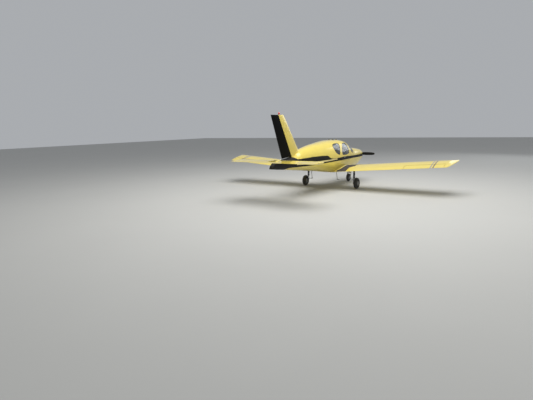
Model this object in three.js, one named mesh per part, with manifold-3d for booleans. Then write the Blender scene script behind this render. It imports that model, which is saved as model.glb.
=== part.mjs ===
// Light aircraft: low-wing tourer with fixed nosewheel gear and doors that open upward.
// Millimetres, +Z up, +X to port, +Y aft. Shapes are drawn in stations, the distance aft of
// the spinner's tip, and the whole group is moved forward so that its box is centred.

import * as THREE from 'three';
import { mergeVertices } from 'three/addons/utils/BufferGeometryUtils.js';
import Module from 'manifold-3d';

const wasm = await Module();
wasm.setup();

// Driving dimensions
const FIT = 0.3;
const SWING = 6;
const BODY_SIDES = 24;
const ROUND = 10;
const PIN_SIDES = 8;
const WHEEL_SIDES = 20;
const LUG_RADIUS = 13;
const PIN_RADIUS = 5;

const COWL_FRONT = 330;
const COWL_WALL = 8;
const COWL_SPLIT = 1185;
const ENGINE_BASE = 1060;
const FIREWALL = 1330;
const FIREWALL_THICK = 14;
const CABIN_FRONT = FIREWALL + FIREWALL_THICK + 2 * FIT;
const CABIN_REAR = 4300;
const CABIN_WALL = 26;
const TAIL_WALL = 7;
const TAIL_END = 7560;
const WAIST = 1330;
const PANEL_STATION = 1712;
const FLOOR_HEIGHT = 921;
const SEAT_X = 290;
const FAR = 3000;

const PROP_STATION = 240;
const PROP_HEIGHT = 1225;
const PROP_RADIUS = 940;

const WING_LEADING = 2480;
const WING_CHORD = 1220;
const WING_THICKNESS = 0.16;
const WING_CAMBER = 0.02;
const WING_TRAILING_HEIGHT = 690;
const WING_INCIDENCE = 4;
const DIHEDRAL = 4.5;
const TIP_START = 4600;
const TIP_END = 4908;
const HINGE_FRACTION = 0.72;
const FLAP_SPAN = [1000, 3200];
const AILERON_SPAN = [3212, 4590];
const TIE_DOWN = [2200, 2900, 812];

const FIN_BASE = 1425;
const FIN_TOP = 2940;
const FIN_TOP_HEIGHT = FIN_TOP - FIN_BASE;
const FIN_LEADING = [5448, 6660];
const FIN_TRAILING = [6789, 7450];
const RUDDER_HINGE = [6200, 7050];
const FIN_THICKNESS = 0.09;

const TAIL_PIVOT_STATION = 7016;
const TAIL_PIVOT_HEIGHT = 1400;
const TAIL_CHORD = 800;
const TAIL_LEADING = 6800;
const TAIL_HALF_SPAN = 1600;
const LENGTH = TAIL_LEADING + TAIL_CHORD;
const TAIL_ROOT = 172;
const TAIL_THICKNESS = 0.1;
const TORQUE_TUBE_RADIUS = 25;
const TAB_HINGE_STATION = 7462;
const TAB_HALF_SPAN = 1150;

const MAIN_STATION = 2960;
const MAIN_TRACK_HALF = 1165;
const MAIN_LEG_X = 1036;
const NOSE_STATION = 1000;
const MAIN_TYRE = { radius: 222.5, width: 160, rim: 100 };
const NOSE_TYRE = { radius: 180.5, width: 127, rim: 74 };
const AXLE_RADIUS = 17;
const SHAFT_RADIUS = 30;
const PISTON_RADIUS = 27;
const TURNING_SIDES = 20;

const DOOR_HINGE_X = 76;
const DOOR_HINGE_HEIGHT = 1981;
const DOOR_GAP = 8;

const PAINT = { color: 0xd9bf5a, roughness: 0.35, metalness: 0.05 };
const BLACK = { color: 0x141414, roughness: 0.35, metalness: 0.05 };
const STEEL = { color: 0x8c8f92, roughness: 0.4, metalness: 0.8 };
const DARK_STEEL = { color: 0x2c2d2f, roughness: 0.5, metalness: 0.5 };
const GLASS = { color: 0xb8c4c8, roughness: 0.05, metalness: 0 };
const RUBBER = { color: 0x191919, roughness: 0.9, metalness: 0 };
const TRIM = { color: 0x3a3732, roughness: 0.8, metalness: 0 };
const SEAT = { color: 0x5b5044, roughness: 0.9, metalness: 0 };
const LAMP = { color: 0xb02a20, roughness: 0.2, metalness: 0 };
const WHITE_PAINT = { color: 0xe8e8e2, roughness: 0.2, metalness: 0 };

// Body sections: half is the half width at height mid, keel and top are the lowest and highest
// points, and the powers are those of the superellipses below and above mid.
const SECTION = ['station', 'half', 'mid', 'keel', 'lowerPower', 'top', 'upperPower'];
const BODY_SECTIONS = [
  [330, 385, 1225, 1030, 2.4, 1405, 2.4],
  [400, 430, 1210, 955, 2.6, 1440, 2.7],
  [600, 480, 1190, 870, 2.8, 1480, 2.9],
  [1000, 540, 1160, 760, 2.9, 1530, 3.0],
  [1330, 580, 1140, 680, 3.0, 1560, 3.0],
  [1700, 615, 1120, 632, 3.0, 1588, 2.9],
  [2100, 645, 1110, 610, 3.0, 1815, 2.7],
  [2450, 660, 1105, 605, 3.0, 1930, 2.7],
  [2800, 668, 1105, 612, 3.0, 1958, 2.7],
  [3200, 665, 1110, 640, 3.0, 1960, 2.6],
  [3700, 635, 1130, 700, 2.9, 1938, 2.5],
  [4200, 580, 1160, 775, 2.8, 1895, 2.4],
  [4700, 505, 1195, 845, 2.6, 1850, 2.3],
  [5200, 420, 1225, 910, 2.5, 1785, 2.2],
  [5700, 335, 1250, 970, 2.4, 1690, 2.2],
  [6200, 250, 1275, 1030, 2.3, 1500, 2.2],
  [6700, 175, 1290, 1090, 2.3, 1452, 2.2],
  [7150, 110, 1300, 1140, 2.3, 1440, 2.2],
  [7560, 55, 1300, 1190, 2.3, 1400, 2.2],
];

// Outlines in the side view, as [station, height]
const WINDSCREEN_OUTLINE = [
  [1500, 2200], [1690, 1620], [1712, 1586], [1830, 1540], [1990, 1450], [2080, 1385],
  [2115, 1392], [2290, 1515], [2360, 1650], [2400, 1850], [2412, 1925], [2412, 2200],
];
const DOOR_OUTLINE = [
  [2372, 1142], [3338, 1142], [3330, 1360], [3225, 1640], [3100, 1790], [3040, 1900],
  [3030, 2100], [2480, 2100], [2470, 1900], [2446, 1720], [2400, 1480],
];
const DOOR_WINDOW_OUTLINE = [
  [2532, 1372], [3150, 1362], [3196, 1400], [3200, 1450], [3130, 1620], [3010, 1745],
  [2880, 1805], [2700, 1832], [2560, 1826], [2512, 1790], [2496, 1700], [2500, 1560],
];
const REAR_WINDOW_OUTLINE = [
  [3418, 1392], [3560, 1414], [3690, 1484], [3768, 1590], [3788, 1700], [3740, 1784],
  [3640, 1818], [3420, 1842], [3230, 1838], [3196, 1800], [3250, 1700], [3340, 1570],
];

const rad = THREE.MathUtils.degToRad;
const sections = BODY_SECTIONS.map((row) => Object.fromEntries(row.map((v, i) => [SECTION[i], v])));

// A smooth curve through a column of the section table that never overshoots its rows
function monotone(column, station) {
  const xs = sections.map((s) => s.station);
  const ys = sections.map((s) => s[column]);
  const last = xs.length - 1;
  const x = Math.min(Math.max(station, xs[0]), xs[last]);
  let k = 0;
  while (k < last - 1 && x > xs[k + 1]) k += 1;
  const slope = (i) => (ys[i + 1] - ys[i]) / (xs[i + 1] - xs[i]);
  const tangent = (i) => {
    if (i === 0) return slope(0);
    if (i === last) return slope(last - 1);
    const [before, after] = [slope(i - 1), slope(i)];
    if (before * after <= 0) return 0;
    const [h0, h1] = [xs[i] - xs[i - 1], xs[i + 1] - xs[i]];
    const [w0, w1] = [2 * h1 + h0, h1 + 2 * h0];
    return (w0 + w1) / (w0 / before + w1 / after);
  };
  const h = xs[k + 1] - xs[k];
  const t = (x - xs[k]) / h;
  return (1 + 2 * t) * (1 - t) ** 2 * ys[k] + t * (1 - t) ** 2 * h * tangent(k)
    + t * t * (3 - 2 * t) * ys[k + 1] + t * t * (t - 1) * h * tangent(k + 1);
}

function bodyPoint(station, angle, inset = 0) {
  const [half, mid, keel, top] = ['half', 'mid', 'keel', 'top'].map((c) => monotone(c, station));
  const upper = Math.sin(angle) >= 0;
  const power = monotone(upper ? 'upperPower' : 'lowerPower', station);
  const height = (upper ? top - mid : mid - keel) - inset;
  const across = Math.abs(Math.cos(angle)) / (half - inset);
  const along = Math.abs(Math.sin(angle)) / height;
  const radius = (across ** power + along ** power) ** (-1 / power);
  return new THREE.Vector3(radius * Math.cos(angle), station, mid + radius * Math.sin(angle));
}

// Solids are manifold objects until they become meshes
function toSolid(geometry) {
  const bare = geometry.index ? geometry.clone() : geometry;
  bare.deleteAttribute('normal');
  bare.deleteAttribute('uv');
  const merged = mergeVertices(bare, 1e-3);
  const vertices = new Float32Array(merged.attributes.position.array);
  const source = merged.index.array;
  const triangles = [];
  for (let i = 0; i < source.length; i += 3) {
    const [a, b, c] = [source[i], source[i + 1], source[i + 2]];
    if (a !== b && b !== c && c !== a) triangles.push(a, b, c);
  }
  const corner = (i) => new THREE.Vector3().fromArray(vertices, 3 * i);
  let volume = 0;
  for (let i = 0; i < triangles.length; i += 3) {
    const [a, b, c] = [corner(triangles[i]), corner(triangles[i + 1]), corner(triangles[i + 2])];
    volume += a.dot(b.cross(c));
  }
  if (volume < 0) triangles.reverse();
  return new wasm.Manifold(new wasm.Mesh({
    numProp: 3, vertProperties: vertices, triVerts: new Uint32Array(triangles),
  }));
}

function toGeometry(solid) {
  const mesh = solid.getMesh();
  const geometry = new THREE.BufferGeometry();
  geometry.setAttribute('position', new THREE.BufferAttribute(mesh.vertProperties, 3));
  geometry.setIndex(new THREE.BufferAttribute(mesh.triVerts, 1));
  return geometry;
}

const join = (...solids) => solids.reduce((a, b) => a.add(b));
const cut = (solid, ...tools) => tools.reduce((a, b) => a.subtract(b), solid);

// A closed skin over rings of equally many points, its ends closed by flat caps
function loft(rings) {
  const count = rings[0].length;
  const positions = rings.flat().flatMap((p) => [p.x, p.y, p.z]);
  const index = [];
  for (let r = 0; r < rings.length - 1; r += 1) {
    for (let i = 0; i < count; i += 1) {
      const [a, b] = [r * count + i, r * count + ((i + 1) % count)];
      index.push(a, b, b + count, a, b + count, a + count);
    }
  }
  const cap = (ring, offset, flip) => {
    const normal = new THREE.Vector3();
    ring.forEach((p, i) => normal.add(p.clone().cross(ring[(i + 1) % count])));
    const axes = ['x', 'y', 'z'].sort((a, b) => Math.abs(normal[a]) - Math.abs(normal[b]));
    const flat = ring.map((p) => new THREE.Vector2(p[axes[0]], p[axes[1]]));
    const clockwise = THREE.ShapeUtils.isClockWise(flat);
    const faces = THREE.ShapeUtils.triangulateShape(clockwise ? flat.toReversed() : flat, []);
    const at = (i) => offset + (clockwise ? count - 1 - i : i);
    const [p, q, s] = faces[0].map((i) => ring[at(i) - offset]);
    const facing = q.clone().sub(p).cross(s.clone().sub(p)).dot(normal) > 0;
    faces.forEach(([a, b, c]) => {
      if (facing !== flip) index.push(at(a), at(b), at(c));
      else index.push(at(a), at(c), at(b));
    });
  };
  cap(rings[0], 0, true);
  cap(rings.at(-1), (rings.length - 1) * count, false);
  const geometry = new THREE.BufferGeometry();
  geometry.setAttribute('position', new THREE.Float32BufferAttribute(positions, 3));
  geometry.setIndex(index);
  return toSolid(geometry);
}

// The body between two stations, its surface moved inward by inset
function bodySolid(from, to, inset) {
  const between = sections.map((s) => s.station).filter((s) => s > from + 20 && s < to - 20);
  const stations = [from, ...between, to];
  return loft(stations.map((station) => Array.from({ length: BODY_SIDES }, (_, i) => (
    bodyPoint(station, (2 * Math.PI * (i + 0.5)) / BODY_SIDES, inset)))));
}

const bodyShell = (from, to, wall) => (
  cut(bodySolid(from, to, 0), bodySolid(from - 5, to + 5, wall)));

function box(x, y, z) {
  const shape = new THREE.BoxGeometry(x[1] - x[0], y[1] - y[0], z[1] - z[0]);
  shape.translate((x[0] + x[1]) / 2, (y[0] + y[1]) / 2, (z[0] + z[1]) / 2);
  return toSolid(shape);
}

// A flat outline in the side view, given its thickness across the aircraft
function sidePrism(outline, x) {
  const shape = new THREE.Shape(outline.map(([y, z]) => new THREE.Vector2(y, z)));
  const solid = new THREE.ExtrudeGeometry(shape, { depth: x[1] - x[0], bevelEnabled: false });
  const turn = new THREE.Matrix4().makeBasis(
    new THREE.Vector3(0, 1, 0), new THREE.Vector3(0, 0, 1), new THREE.Vector3(1, 0, 0),
  );
  solid.applyMatrix4(turn).translate(x[0], 0, 0);
  return toSolid(solid);
}

// A round bar from p to q, which may taper
function rod(p, q, radius, endRadius = radius, sides = ROUND) {
  const [start, end] = [new THREE.Vector3(...p), new THREE.Vector3(...q)];
  const along = end.clone().sub(start);
  const shape = new THREE.CylinderGeometry(endRadius, radius, along.length(), sides);
  const turn = new THREE.Quaternion().setFromUnitVectors(
    new THREE.Vector3(0, 1, 0), along.clone().normalize(),
  );
  shape.applyQuaternion(turn);
  const centre = start.add(end).multiplyScalar(0.5);
  shape.translate(centre.x, centre.y, centre.z);
  return toSolid(shape);
}

// The radius of a hole in which a round bar of as many sides can turn
const holeFor = (radius, count) => (radius + FIT) / Math.cos(Math.PI / count);

// Points of a four-digit wing section of unit chord, trailing edge first, over the top
function airfoil(thickness, camber, count = 10) {
  const crest = 0.4;
  const side = (sign) => Array.from({ length: count }, (_, i) => {
    const x = (1 + Math.cos((Math.PI * i) / (count - 1))) / 2;
    const half = 5 * thickness * (0.2969 * Math.sqrt(x) - 0.126 * x - 0.3516 * x ** 2
      + 0.2843 * x ** 3 - 0.1015 * x ** 4);
    const mean = x < crest
      ? (camber / crest ** 2) * (2 * crest * x - x * x)
      : (camber / (1 - crest) ** 2) * (1 - 2 * crest + 2 * crest * x - x * x);
    return [x, mean + sign * half];
  });
  return [...side(1), ...side(-1).reverse().slice(1)];
}

// Wing frame: x along the span from the centre line, y and z as in the body before dihedral
const toWing = (solid) => {
  const c = Math.cos(rad(DIHEDRAL));
  const s = Math.sin(rad(DIHEDRAL));
  const z = WING_TRAILING_HEIGHT;
  return solid.transform([c, 0, s, 0, 0, 1, 0, 0, -s, 0, c, 0, z * s, 0, z - z * c, 1]);
};

function wingSection(span, chordScale = 1, thickScale = 1, lift = 0) {
  const c = Math.cos(rad(WING_INCIDENCE));
  const s = Math.sin(rad(WING_INCIDENCE));
  const trailing = WING_LEADING + WING_CHORD;
  return airfoil(WING_THICKNESS, WING_CAMBER).map(([a, b]) => {
    const [ahead, up] = [(1 - a * chordScale) * WING_CHORD, b * WING_CHORD * thickScale + lift];
    return new THREE.Vector3(
      span, trailing - ahead * c + up * s, WING_TRAILING_HEIGHT + ahead * s + up * c,
    );
  });
}

const wingHinge = (() => {
  const ahead = (1 - HINGE_FRACTION) * WING_CHORD;
  const camberUp = 0.0157 * WING_CHORD;
  return {
    y: WING_LEADING + WING_CHORD - ahead * Math.cos(rad(WING_INCIDENCE)),
    z: WING_TRAILING_HEIGHT + ahead * Math.sin(rad(WING_INCIDENCE)) + camberUp,
    radius: 55,
  };
})();

// Cuts one control surface out of a fixed surface. p and q are the ends of the hinge line,
// behind is the room aft of it, slice its length less a gap, lip more room ahead of it, and each
// bracket a fraction of the line, with an arm that reaches forward.
function hingedSurface(whole, options) {
  const { p, q, radius, endRadius = radius, behind, slice, brackets, arm, lip } = options;
  const line = new THREE.Vector3(...q).sub(new THREE.Vector3(...p));
  const at = (t) => new THREE.Vector3(...p).addScaledVector(line, t).toArray();
  const size = (t) => radius + (endRadius - radius) * t;
  const nose = rod(at(-0.01), at(1.01), size(-0.01), size(1.01), 12);
  const cove = rod(
    at(-0.01), at(1.01), size(-0.01) + SWING, size(1.01) + SWING, 12,
  );
  const keep = slice(SWING);
  let moving = whole.intersect(behind.add(nose)).intersect(keep);
  const space = lip ? join(behind, cove, lip) : join(behind, cove);
  let fixed = whole.subtract(space.intersect(slice(0)));
  brackets.forEach((t) => {
    const bar = (half, r) => {
      const step = half / line.length();
      return rod(at(t - step), at(t + step), r, r, PIN_SIDES);
    };
    const slot = bar(18, LUG_RADIUS + SWING).add(arm(t, 18, size(t) + 40, 200));
    moving = cut(moving, slot, bar(34, holeFor(PIN_RADIUS, PIN_SIDES)));
    fixed = join(fixed, bar(10, LUG_RADIUS), bar(32, PIN_RADIUS), arm(t, 10, size(t) + 26, 9));
  });
  return { moving, fixed };
}

// Wing, cut into the fixed wing, the flap and the aileron
function buildWing() {
  const root = loft([wingSection(-40), wingSection(TIP_START)]);
  const hinge = (span) => [span, wingHinge.y, wingHinge.z];
  const cutSurface = (whole, [inner, outer], brackets) => hingedSurface(whole, {
    p: hinge(inner),
    q: hinge(outer),
    radius: wingHinge.radius,
    behind: box([inner - 40, outer + 40], [wingHinge.y, FAR + 1500], [0, FAR]),
    lip: box([inner - 40, outer + 40], [wingHinge.y - 32, wingHinge.y],
      [wingHinge.z - 90, wingHinge.z - 40]),
    slice: (gap) => box([inner + gap, outer - gap], [0, FAR + 2000], [0, FAR]),
    brackets: brackets.map((span) => (span - inner) / (outer - inner)),
    arm: (t, half, reach, thick) => {
      const span = inner + (outer - inner) * t;
      return box(
        [span - half, span + half], [wingHinge.y - reach, wingHinge.y],
        [wingHinge.z - thick, wingHinge.z + thick],
      );
    },
  });
  const flap = cutSurface(root, FLAP_SPAN, [1600, 2960]);
  const aileron = cutSurface(flap.fixed, AILERON_SPAN, [3440, 4270]);
  const tipRows = [
    { span: TIP_START + FIT, chord: 1, thick: 1, lift: 0 },
    { span: 4680, chord: 0.985, thick: 0.97, lift: 0 },
    { span: 4745, chord: 0.84, thick: 0.83, lift: 6 },
    { span: 4805, chord: 0.61, thick: 0.62, lift: 20 },
    { span: 4860, chord: 0.36, thick: 0.39, lift: 37 },
    { span: TIP_END, chord: 0.13, thick: 0.14, lift: 55 },
  ];
  const tip = loft(tipRows.map((r) => wingSection(r.span, r.chord, r.thick, r.lift)));
  const portSide = box([FIT / 2, FAR * 2], [0, FAR * 2], [0, FAR]);
  const tieDown = rod([TIE_DOWN[0], TIE_DOWN[1], 880], TIE_DOWN, 22);
  return {
    wing: toWing(aileron.fixed).intersect(portSide).add(tieDown),
    flap: toWing(flap.moving),
    aileron: toWing(aileron.moving),
    tip: toWing(tip),
    whole: toWing(root),
  };
}

// Fin and rudder, cut from one tapered surface along a raked hinge line
function buildFin() {
  const section = (z) => {
    const t = (z - FIN_BASE) / FIN_TOP_HEIGHT;
    const leading = FIN_LEADING[0] + (FIN_LEADING[1] - FIN_LEADING[0]) * t;
    const chord = FIN_TRAILING[0] + (FIN_TRAILING[1] - FIN_TRAILING[0]) * t - leading;
    return airfoil(FIN_THICKNESS, 0).map(([a, b]) => (
      new THREE.Vector3(b * chord, leading + a * chord, z)));
  };
  const hinge = (z) => {
    const t = (z - FIN_BASE) / FIN_TOP_HEIGHT;
    return [0, RUDDER_HINGE[0] + (RUDDER_HINGE[1] - RUDDER_HINGE[0]) * t, z];
  };
  const [low, high] = [FIN_BASE, FIN_TOP];
  const slope = (RUDDER_HINGE[1] - RUDDER_HINGE[0]) / FIN_TOP_HEIGHT;
  const whole = loft([section(low), section(high)]);
  const behind = sidePrism([
    [hinge(low - 300)[1], low - 300], [FAR * 3, low - 300],
    [FAR * 3, high + 300], [hinge(high + 300)[1], high + 300],
  ], [-200, 200]);
  return hingedSurface(whole, {
    p: hinge(low),
    q: hinge(high),
    radius: 49,
    endRadius: 32,
    behind,
    slice: (gap) => (gap
      ? sidePrism([[5000, 1545], [6180, 1527], [6900, 1470], [8000, 1470], [8000, 3200],
        [5000, 3200]], [-200, 200])
      : box([-200, 200], [5000, 8000], [1000, 3200])),
    brackets: [0.2, 0.82],
    arm: (t, half, reach, thick) => {
      const z = FIN_BASE + FIN_TOP_HEIGHT * t;
      const y = hinge(z)[1];
      return sidePrism([
        [y - reach - slope * half, z - half], [y - slope * half, z - half],
        [y + slope * half, z + half], [y - reach + slope * half, z + half],
      ], [-thick, thick]);
    },
  });
}

// All-moving tailplane: two halves on one torque tube, with a tab along the trailing edge
function buildTailplane() {
  const section = (x, chordScale = 1, thickScale = 1) => (
    airfoil(TAIL_THICKNESS, 0, 8).map(([a, b]) => new THREE.Vector3(
      x,
      TAIL_LEADING + TAIL_CHORD * (1 - (1 - a) * chordScale),
      TAIL_PIVOT_HEIGHT + b * TAIL_CHORD * thickScale,
    )));
  const half = (side) => loft([
    section(side * TAIL_ROOT), section(side * (TAIL_HALF_SPAN - 40)),
    section(side * TAIL_HALF_SPAN, 0.93, 0.45),
  ]);
  const tube = rod(
    [-TAIL_ROOT - 60, TAIL_PIVOT_STATION, TAIL_PIVOT_HEIGHT],
    [TAIL_ROOT + 60, TAIL_PIVOT_STATION, TAIL_PIVOT_HEIGHT],
    TORQUE_TUBE_RADIUS, TORQUE_TUBE_RADIUS, TURNING_SIDES,
  );
  const halves = join(half(1), half(-1), tube);
  const centre = loft([section(-TAIL_ROOT - 1), section(TAIL_ROOT + 1)]);
  const hinge = (x) => [x, TAB_HINGE_STATION, TAIL_PIVOT_HEIGHT];
  const behind = box([-TAIL_HALF_SPAN, TAIL_HALF_SPAN], [TAB_HINGE_STATION, FAR * 3], [0, FAR]);
  const strip = (gap) => box([-TAB_HALF_SPAN + gap, TAB_HALF_SPAN - gap], [0, FAR * 3], [0, FAR]);
  const cutTab = (whole, brackets) => hingedSurface(whole, {
    p: hinge(-TAB_HALF_SPAN),
    q: hinge(TAB_HALF_SPAN),
    radius: 15.5,
    behind,
    slice: strip,
    brackets,
    arm: (t, half, reach, thick) => {
      const x = TAB_HALF_SPAN * (2 * t - 1);
      return box([x - half, x + half], [TAB_HINGE_STATION - reach, TAB_HINGE_STATION],
        [TAIL_PIVOT_HEIGHT - Math.min(thick, 40), TAIL_PIVOT_HEIGHT + Math.min(thick, 40)]);
    },
  });
  return { halves, centre, cutTab };
}

function buildPropeller(grow) {
  const rows = [
    { radius: 70, chord: 96, thick: 60, pitch: 50 },
    { radius: 250, chord: 140, thick: 34, pitch: 36 },
    { radius: 520, chord: 150, thick: 22, pitch: 24 },
    { radius: 800, chord: 128, thick: 14, pitch: 17 },
    { radius: 915, chord: 96, thick: 9, pitch: 15 },
    { radius: PROP_RADIUS, chord: 50, thick: 5, pitch: 14 },
  ];
  const blade = (side) => loft(rows.map((row) => Array.from({ length: 10 }, (_, i) => {
    const a = (2 * Math.PI * i) / 10;
    const [u, v] = [(row.chord / 2 + grow) * Math.cos(a), (row.thick / 2 + grow) * Math.sin(a)];
    const twist = -side * rad(row.pitch);
    return new THREE.Vector3(
      side * row.radius,
      PROP_STATION + u * Math.sin(twist) + v * Math.cos(twist),
      PROP_HEIGHT + u * Math.cos(twist) - v * Math.sin(twist),
    );
  })));
  const hub = rod(
    [0, PROP_STATION - 50 - grow, PROP_HEIGHT], [0, PROP_STATION + 60 + grow, PROP_HEIGHT],
    92 + grow, 92 + grow, 12,
  );
  return join(hub, blade(1), blade(-1));
}

function lathe(profile, sides, toAxis) {
  const shape = new THREE.LatheGeometry(profile.map(([r, h]) => new THREE.Vector2(r, h)), sides);
  shape.applyMatrix4(toAxis);
  return toSolid(shape);
}
const AXIS_X = new THREE.Matrix4().makeRotationZ(-Math.PI / 2);
const AXIS_Y = new THREE.Matrix4();

function buildSpinner() {
  const nose = Array.from({ length: 6 }, (_, i) => {
    const t = i / 5;
    return [165 * Math.sin((t * Math.PI) / 2) ** 0.8, 300 * (1 - Math.cos((t * Math.PI) / 2))];
  });
  const solid = lathe([...nose, [165, 312], [0, 312]], 16, AXIS_Y);
  return cut(solid, rod([0, 250, 0], [0, 330, 0], 2 * SHAFT_RADIUS))
    .translate([0, 0, PROP_HEIGHT])
    .subtract(buildPropeller(FIT));
}

const shaftHole = holeFor(SHAFT_RADIUS, TURNING_SIDES);
const shaftRoom = rod([0, 252, PROP_HEIGHT], [0, 400, PROP_HEIGHT], shaftHole, shaftHole, TURNING_SIDES);

// Wheel pieces turn about X, centred on the origin
function buildWheel({ radius, width, rim }) {
  const steps = 8;
  const round = Array.from({ length: steps + 1 }, (_, i) => {
    const a = Math.PI * (i / steps);
    const depth = radius - rim - 14;
    return [rim + 14 + depth * Math.sin(a) ** 0.75, (-width / 2) * Math.cos(a)];
  });
  const bead = width / 2 - 14;
  const tyre = lathe([
    [rim + FIT, -bead], ...round, [rim + FIT, bead], [rim + FIT, -bead],
  ], WHEEL_SIDES, AXIS_X);
  const hub = AXLE_RADIUS + FIT;
  const face = bead - 16;
  const wheel = lathe([
    [hub, -face - 8], [44, -face - 8], [44, -face + 12], [rim - 12, -face + 12],
    [rim - 6, -bead], [rim, -bead], [rim, bead], [rim - 6, bead], [rim - 12, face - 12],
    [44, face - 12], [44, face + 8], [hub, face + 8], [hub, -face - 8],
  ], WHEEL_SIDES, AXIS_X);
  return { tyre, wheel, hubFace: face + 8 };
}

// Pieces of the aircraft
const { wing, flap, aileron, tip, whole: wingWhole } = buildWing();
const mirrored = (solid) => toSolid(toGeometry(solid).scale(-1, 1, 1));
const wingRoom = join(...[[0, FIT, 0], [0, -FIT, 0], [0, 0, FIT], [0, 0, -FIT]]
  .map((shift) => wingWhole.translate(shift)));
const bothWings = wingRoom.add(mirrored(wingRoom));

const cowling = cut(
  cut(bodySolid(COWL_FRONT, FIREWALL, 0), bodySolid(COWL_FRONT + 12, FIREWALL + 5, COWL_WALL)),
  rod([0, 300, PROP_HEIGHT], [0, 360, PROP_HEIGHT], 110, 110, 20),
  box([170, 330], [300, 360], [1165, 1275]),
  box([-330, -170], [300, 360], [1165, 1275]),
);
const noseLeg = { top: [0, 1100, 900], collar: [0, 1003, 640], foot: [0, 905, 405] };
const nosePort = box([-55, 55], [930, 1120], [600, 900]);
const exhaustPort = box([120, 200], [1120, 1240], [600, 900]);
const cowlingUpper = cowling.intersect(box([-FAR, FAR], [0, FAR], [COWL_SPLIT + FIT / 2, FAR]));
const cowlingLower = cut(
  cowling.intersect(box([-FAR, FAR], [0, FAR], [0, COWL_SPLIT - FIT / 2])), nosePort, exhaustPort,
);
const firewall = bodySolid(FIREWALL + FIT, FIREWALL + FIT + FIREWALL_THICK, 0);

const engine = join(
  box([-320, 320], [520, 1000], [ENGINE_BASE, 1370]),
  rod([0, 260, PROP_HEIGHT], [0, 540, PROP_HEIGHT], SHAFT_RADIUS, SHAFT_RADIUS, TURNING_SIDES),
  ...[[-1, 0], [1, 0], [-1, 1], [1, 1]].map(([side, up]) => rod(
    [side * 200, 980, 1100 + up * 220], [side * 260, FIREWALL + 20, 1060 + up * 300], 14, 14, 8,
  )),
).intersect(box([-FAR, FAR], [0, FIREWALL], [0, FAR]));

// Cabin: a hollow shell, split at the waist, with the doors and windows cut out of it
const shell = cut(bodyShell(CABIN_FRONT, CABIN_REAR, CABIN_WALL), bothWings);
const grown = (outline, by) => {
  const middle = outline.reduce(([a, b], [y, z]) => [a + y, b + z], [0, 0])
    .map((v) => v / outline.length);
  return outline.map(([y, z]) => {
    const [dy, dz] = [y - middle[0], z - middle[1]];
    const size = Math.hypot(dy, dz);
    return [y + (dy / size) * by, z + (dz / size) * by];
  });
};
const sides = (outline, inner) => join(
  sidePrism(outline, [inner, FAR]), sidePrism(outline, [-FAR, -inner]),
);
const doorRoom = sides(grown(DOOR_OUTLINE, DOOR_GAP), DOOR_HINGE_X - 1);
const screenRoom = sides(WINDSCREEN_OUTLINE, 20);
const rearWindowRoom = sides(REAR_WINDOW_OUTLINE, 200);
const belowWaist = sidePrism([
  [CABIN_FRONT - 50, 400], [CABIN_REAR + 50, 400], [CABIN_REAR + 50, WAIST - FIT / 2],
  [PANEL_STATION, WAIST - FIT / 2], [PANEL_STATION, 2200], [CABIN_FRONT - 50, 2200],
], [-FAR, FAR]);
const aboveWaist = sidePrism([
  [PANEL_STATION + FIT, WAIST + FIT / 2], [CABIN_REAR + 50, WAIST + FIT / 2],
  [CABIN_REAR + 50, 2200], [PANEL_STATION + FIT, 2200],
], [-FAR, FAR]);
const cabinTub = cut(shell.intersect(belowWaist), doorRoom, screenRoom);

const HINGE_STATIONS = [2580, 2930];
const hingeBar = (side, station, half, radius) => rod(
  [side * DOOR_HINGE_X, station - half, DOOR_HINGE_HEIGHT],
  [side * DOOR_HINGE_X, station + half, DOOR_HINGE_HEIGHT], radius, radius, 12,
);
const roofHinges = join(...[-1, 1].flatMap((side) => HINGE_STATIONS.flatMap((station) => [
  hingeBar(side, station, 34, 5),
  box([Math.min(side * 52, side * 82), Math.max(side * 52, side * 82)],
    [station - 10, station + 10], [1925, DOOR_HINGE_HEIGHT + 5]),
])));
const cabinRoof = join(
  cut(shell.intersect(aboveWaist), doorRoom, screenRoom, rearWindowRoom), roofHinges,
);

const port = box([FIT, FAR], [0, FAR * 3], [0, FAR]);
const layer = (outer, inner) => cut(
  bodySolid(CABIN_FRONT, CABIN_REAR, outer), bodySolid(CABIN_FRONT - 5, CABIN_REAR + 5, inner),
);
const glassLayer = layer(4, 10);
const pane = (outline, inner) => glassLayer.intersect(
  sidePrism(grown(outline, -FIT), [inner, FAR]),
);
const windscreen = glassLayer.intersect(sidePrism(
  grown(WINDSCREEN_OUTLINE, -FIT).map(([y, z]) => [y, z > 2100 ? 2200 : z]), [20 + FIT, FAR],
)).intersect(box([0, FAR], [PANEL_STATION + FIT, FAR], [0, FAR]));
const rearWindow = pane(REAR_WINDOW_OUTLINE, 200);
const doorWindow = pane(DOOR_WINDOW_OUTLINE, 120);

const doorPanel = cut(
  bodyShell(CABIN_FRONT, CABIN_REAR, CABIN_WALL).intersect(port)
    .intersect(sidePrism(DOOR_OUTLINE, [DOOR_HINGE_X + SWING, FAR])),
  sidePrism(DOOR_WINDOW_OUTLINE, [120, FAR]),
);
const doorHinges = join(...HINGE_STATIONS.flatMap((station) => [-1, 1].map((end) => {
  const middle = station + end * 22;
  return join(
    rod([DOOR_HINGE_X, middle - 10, DOOR_HINGE_HEIGHT],
      [DOOR_HINGE_X, middle + 10, DOOR_HINGE_HEIGHT], 12, 12, 12),
    box([DOOR_HINGE_X, DOOR_HINGE_X + 34], [middle - 10, middle + 10],
      [1930, DOOR_HINGE_HEIGHT]),
  );
})));
const hingePinRoom = join(...HINGE_STATIONS.map((s) => hingeBar(1, s, 60, 5 + FIT)));
const door = cut(doorPanel.add(doorHinges), hingePinRoom);

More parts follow.
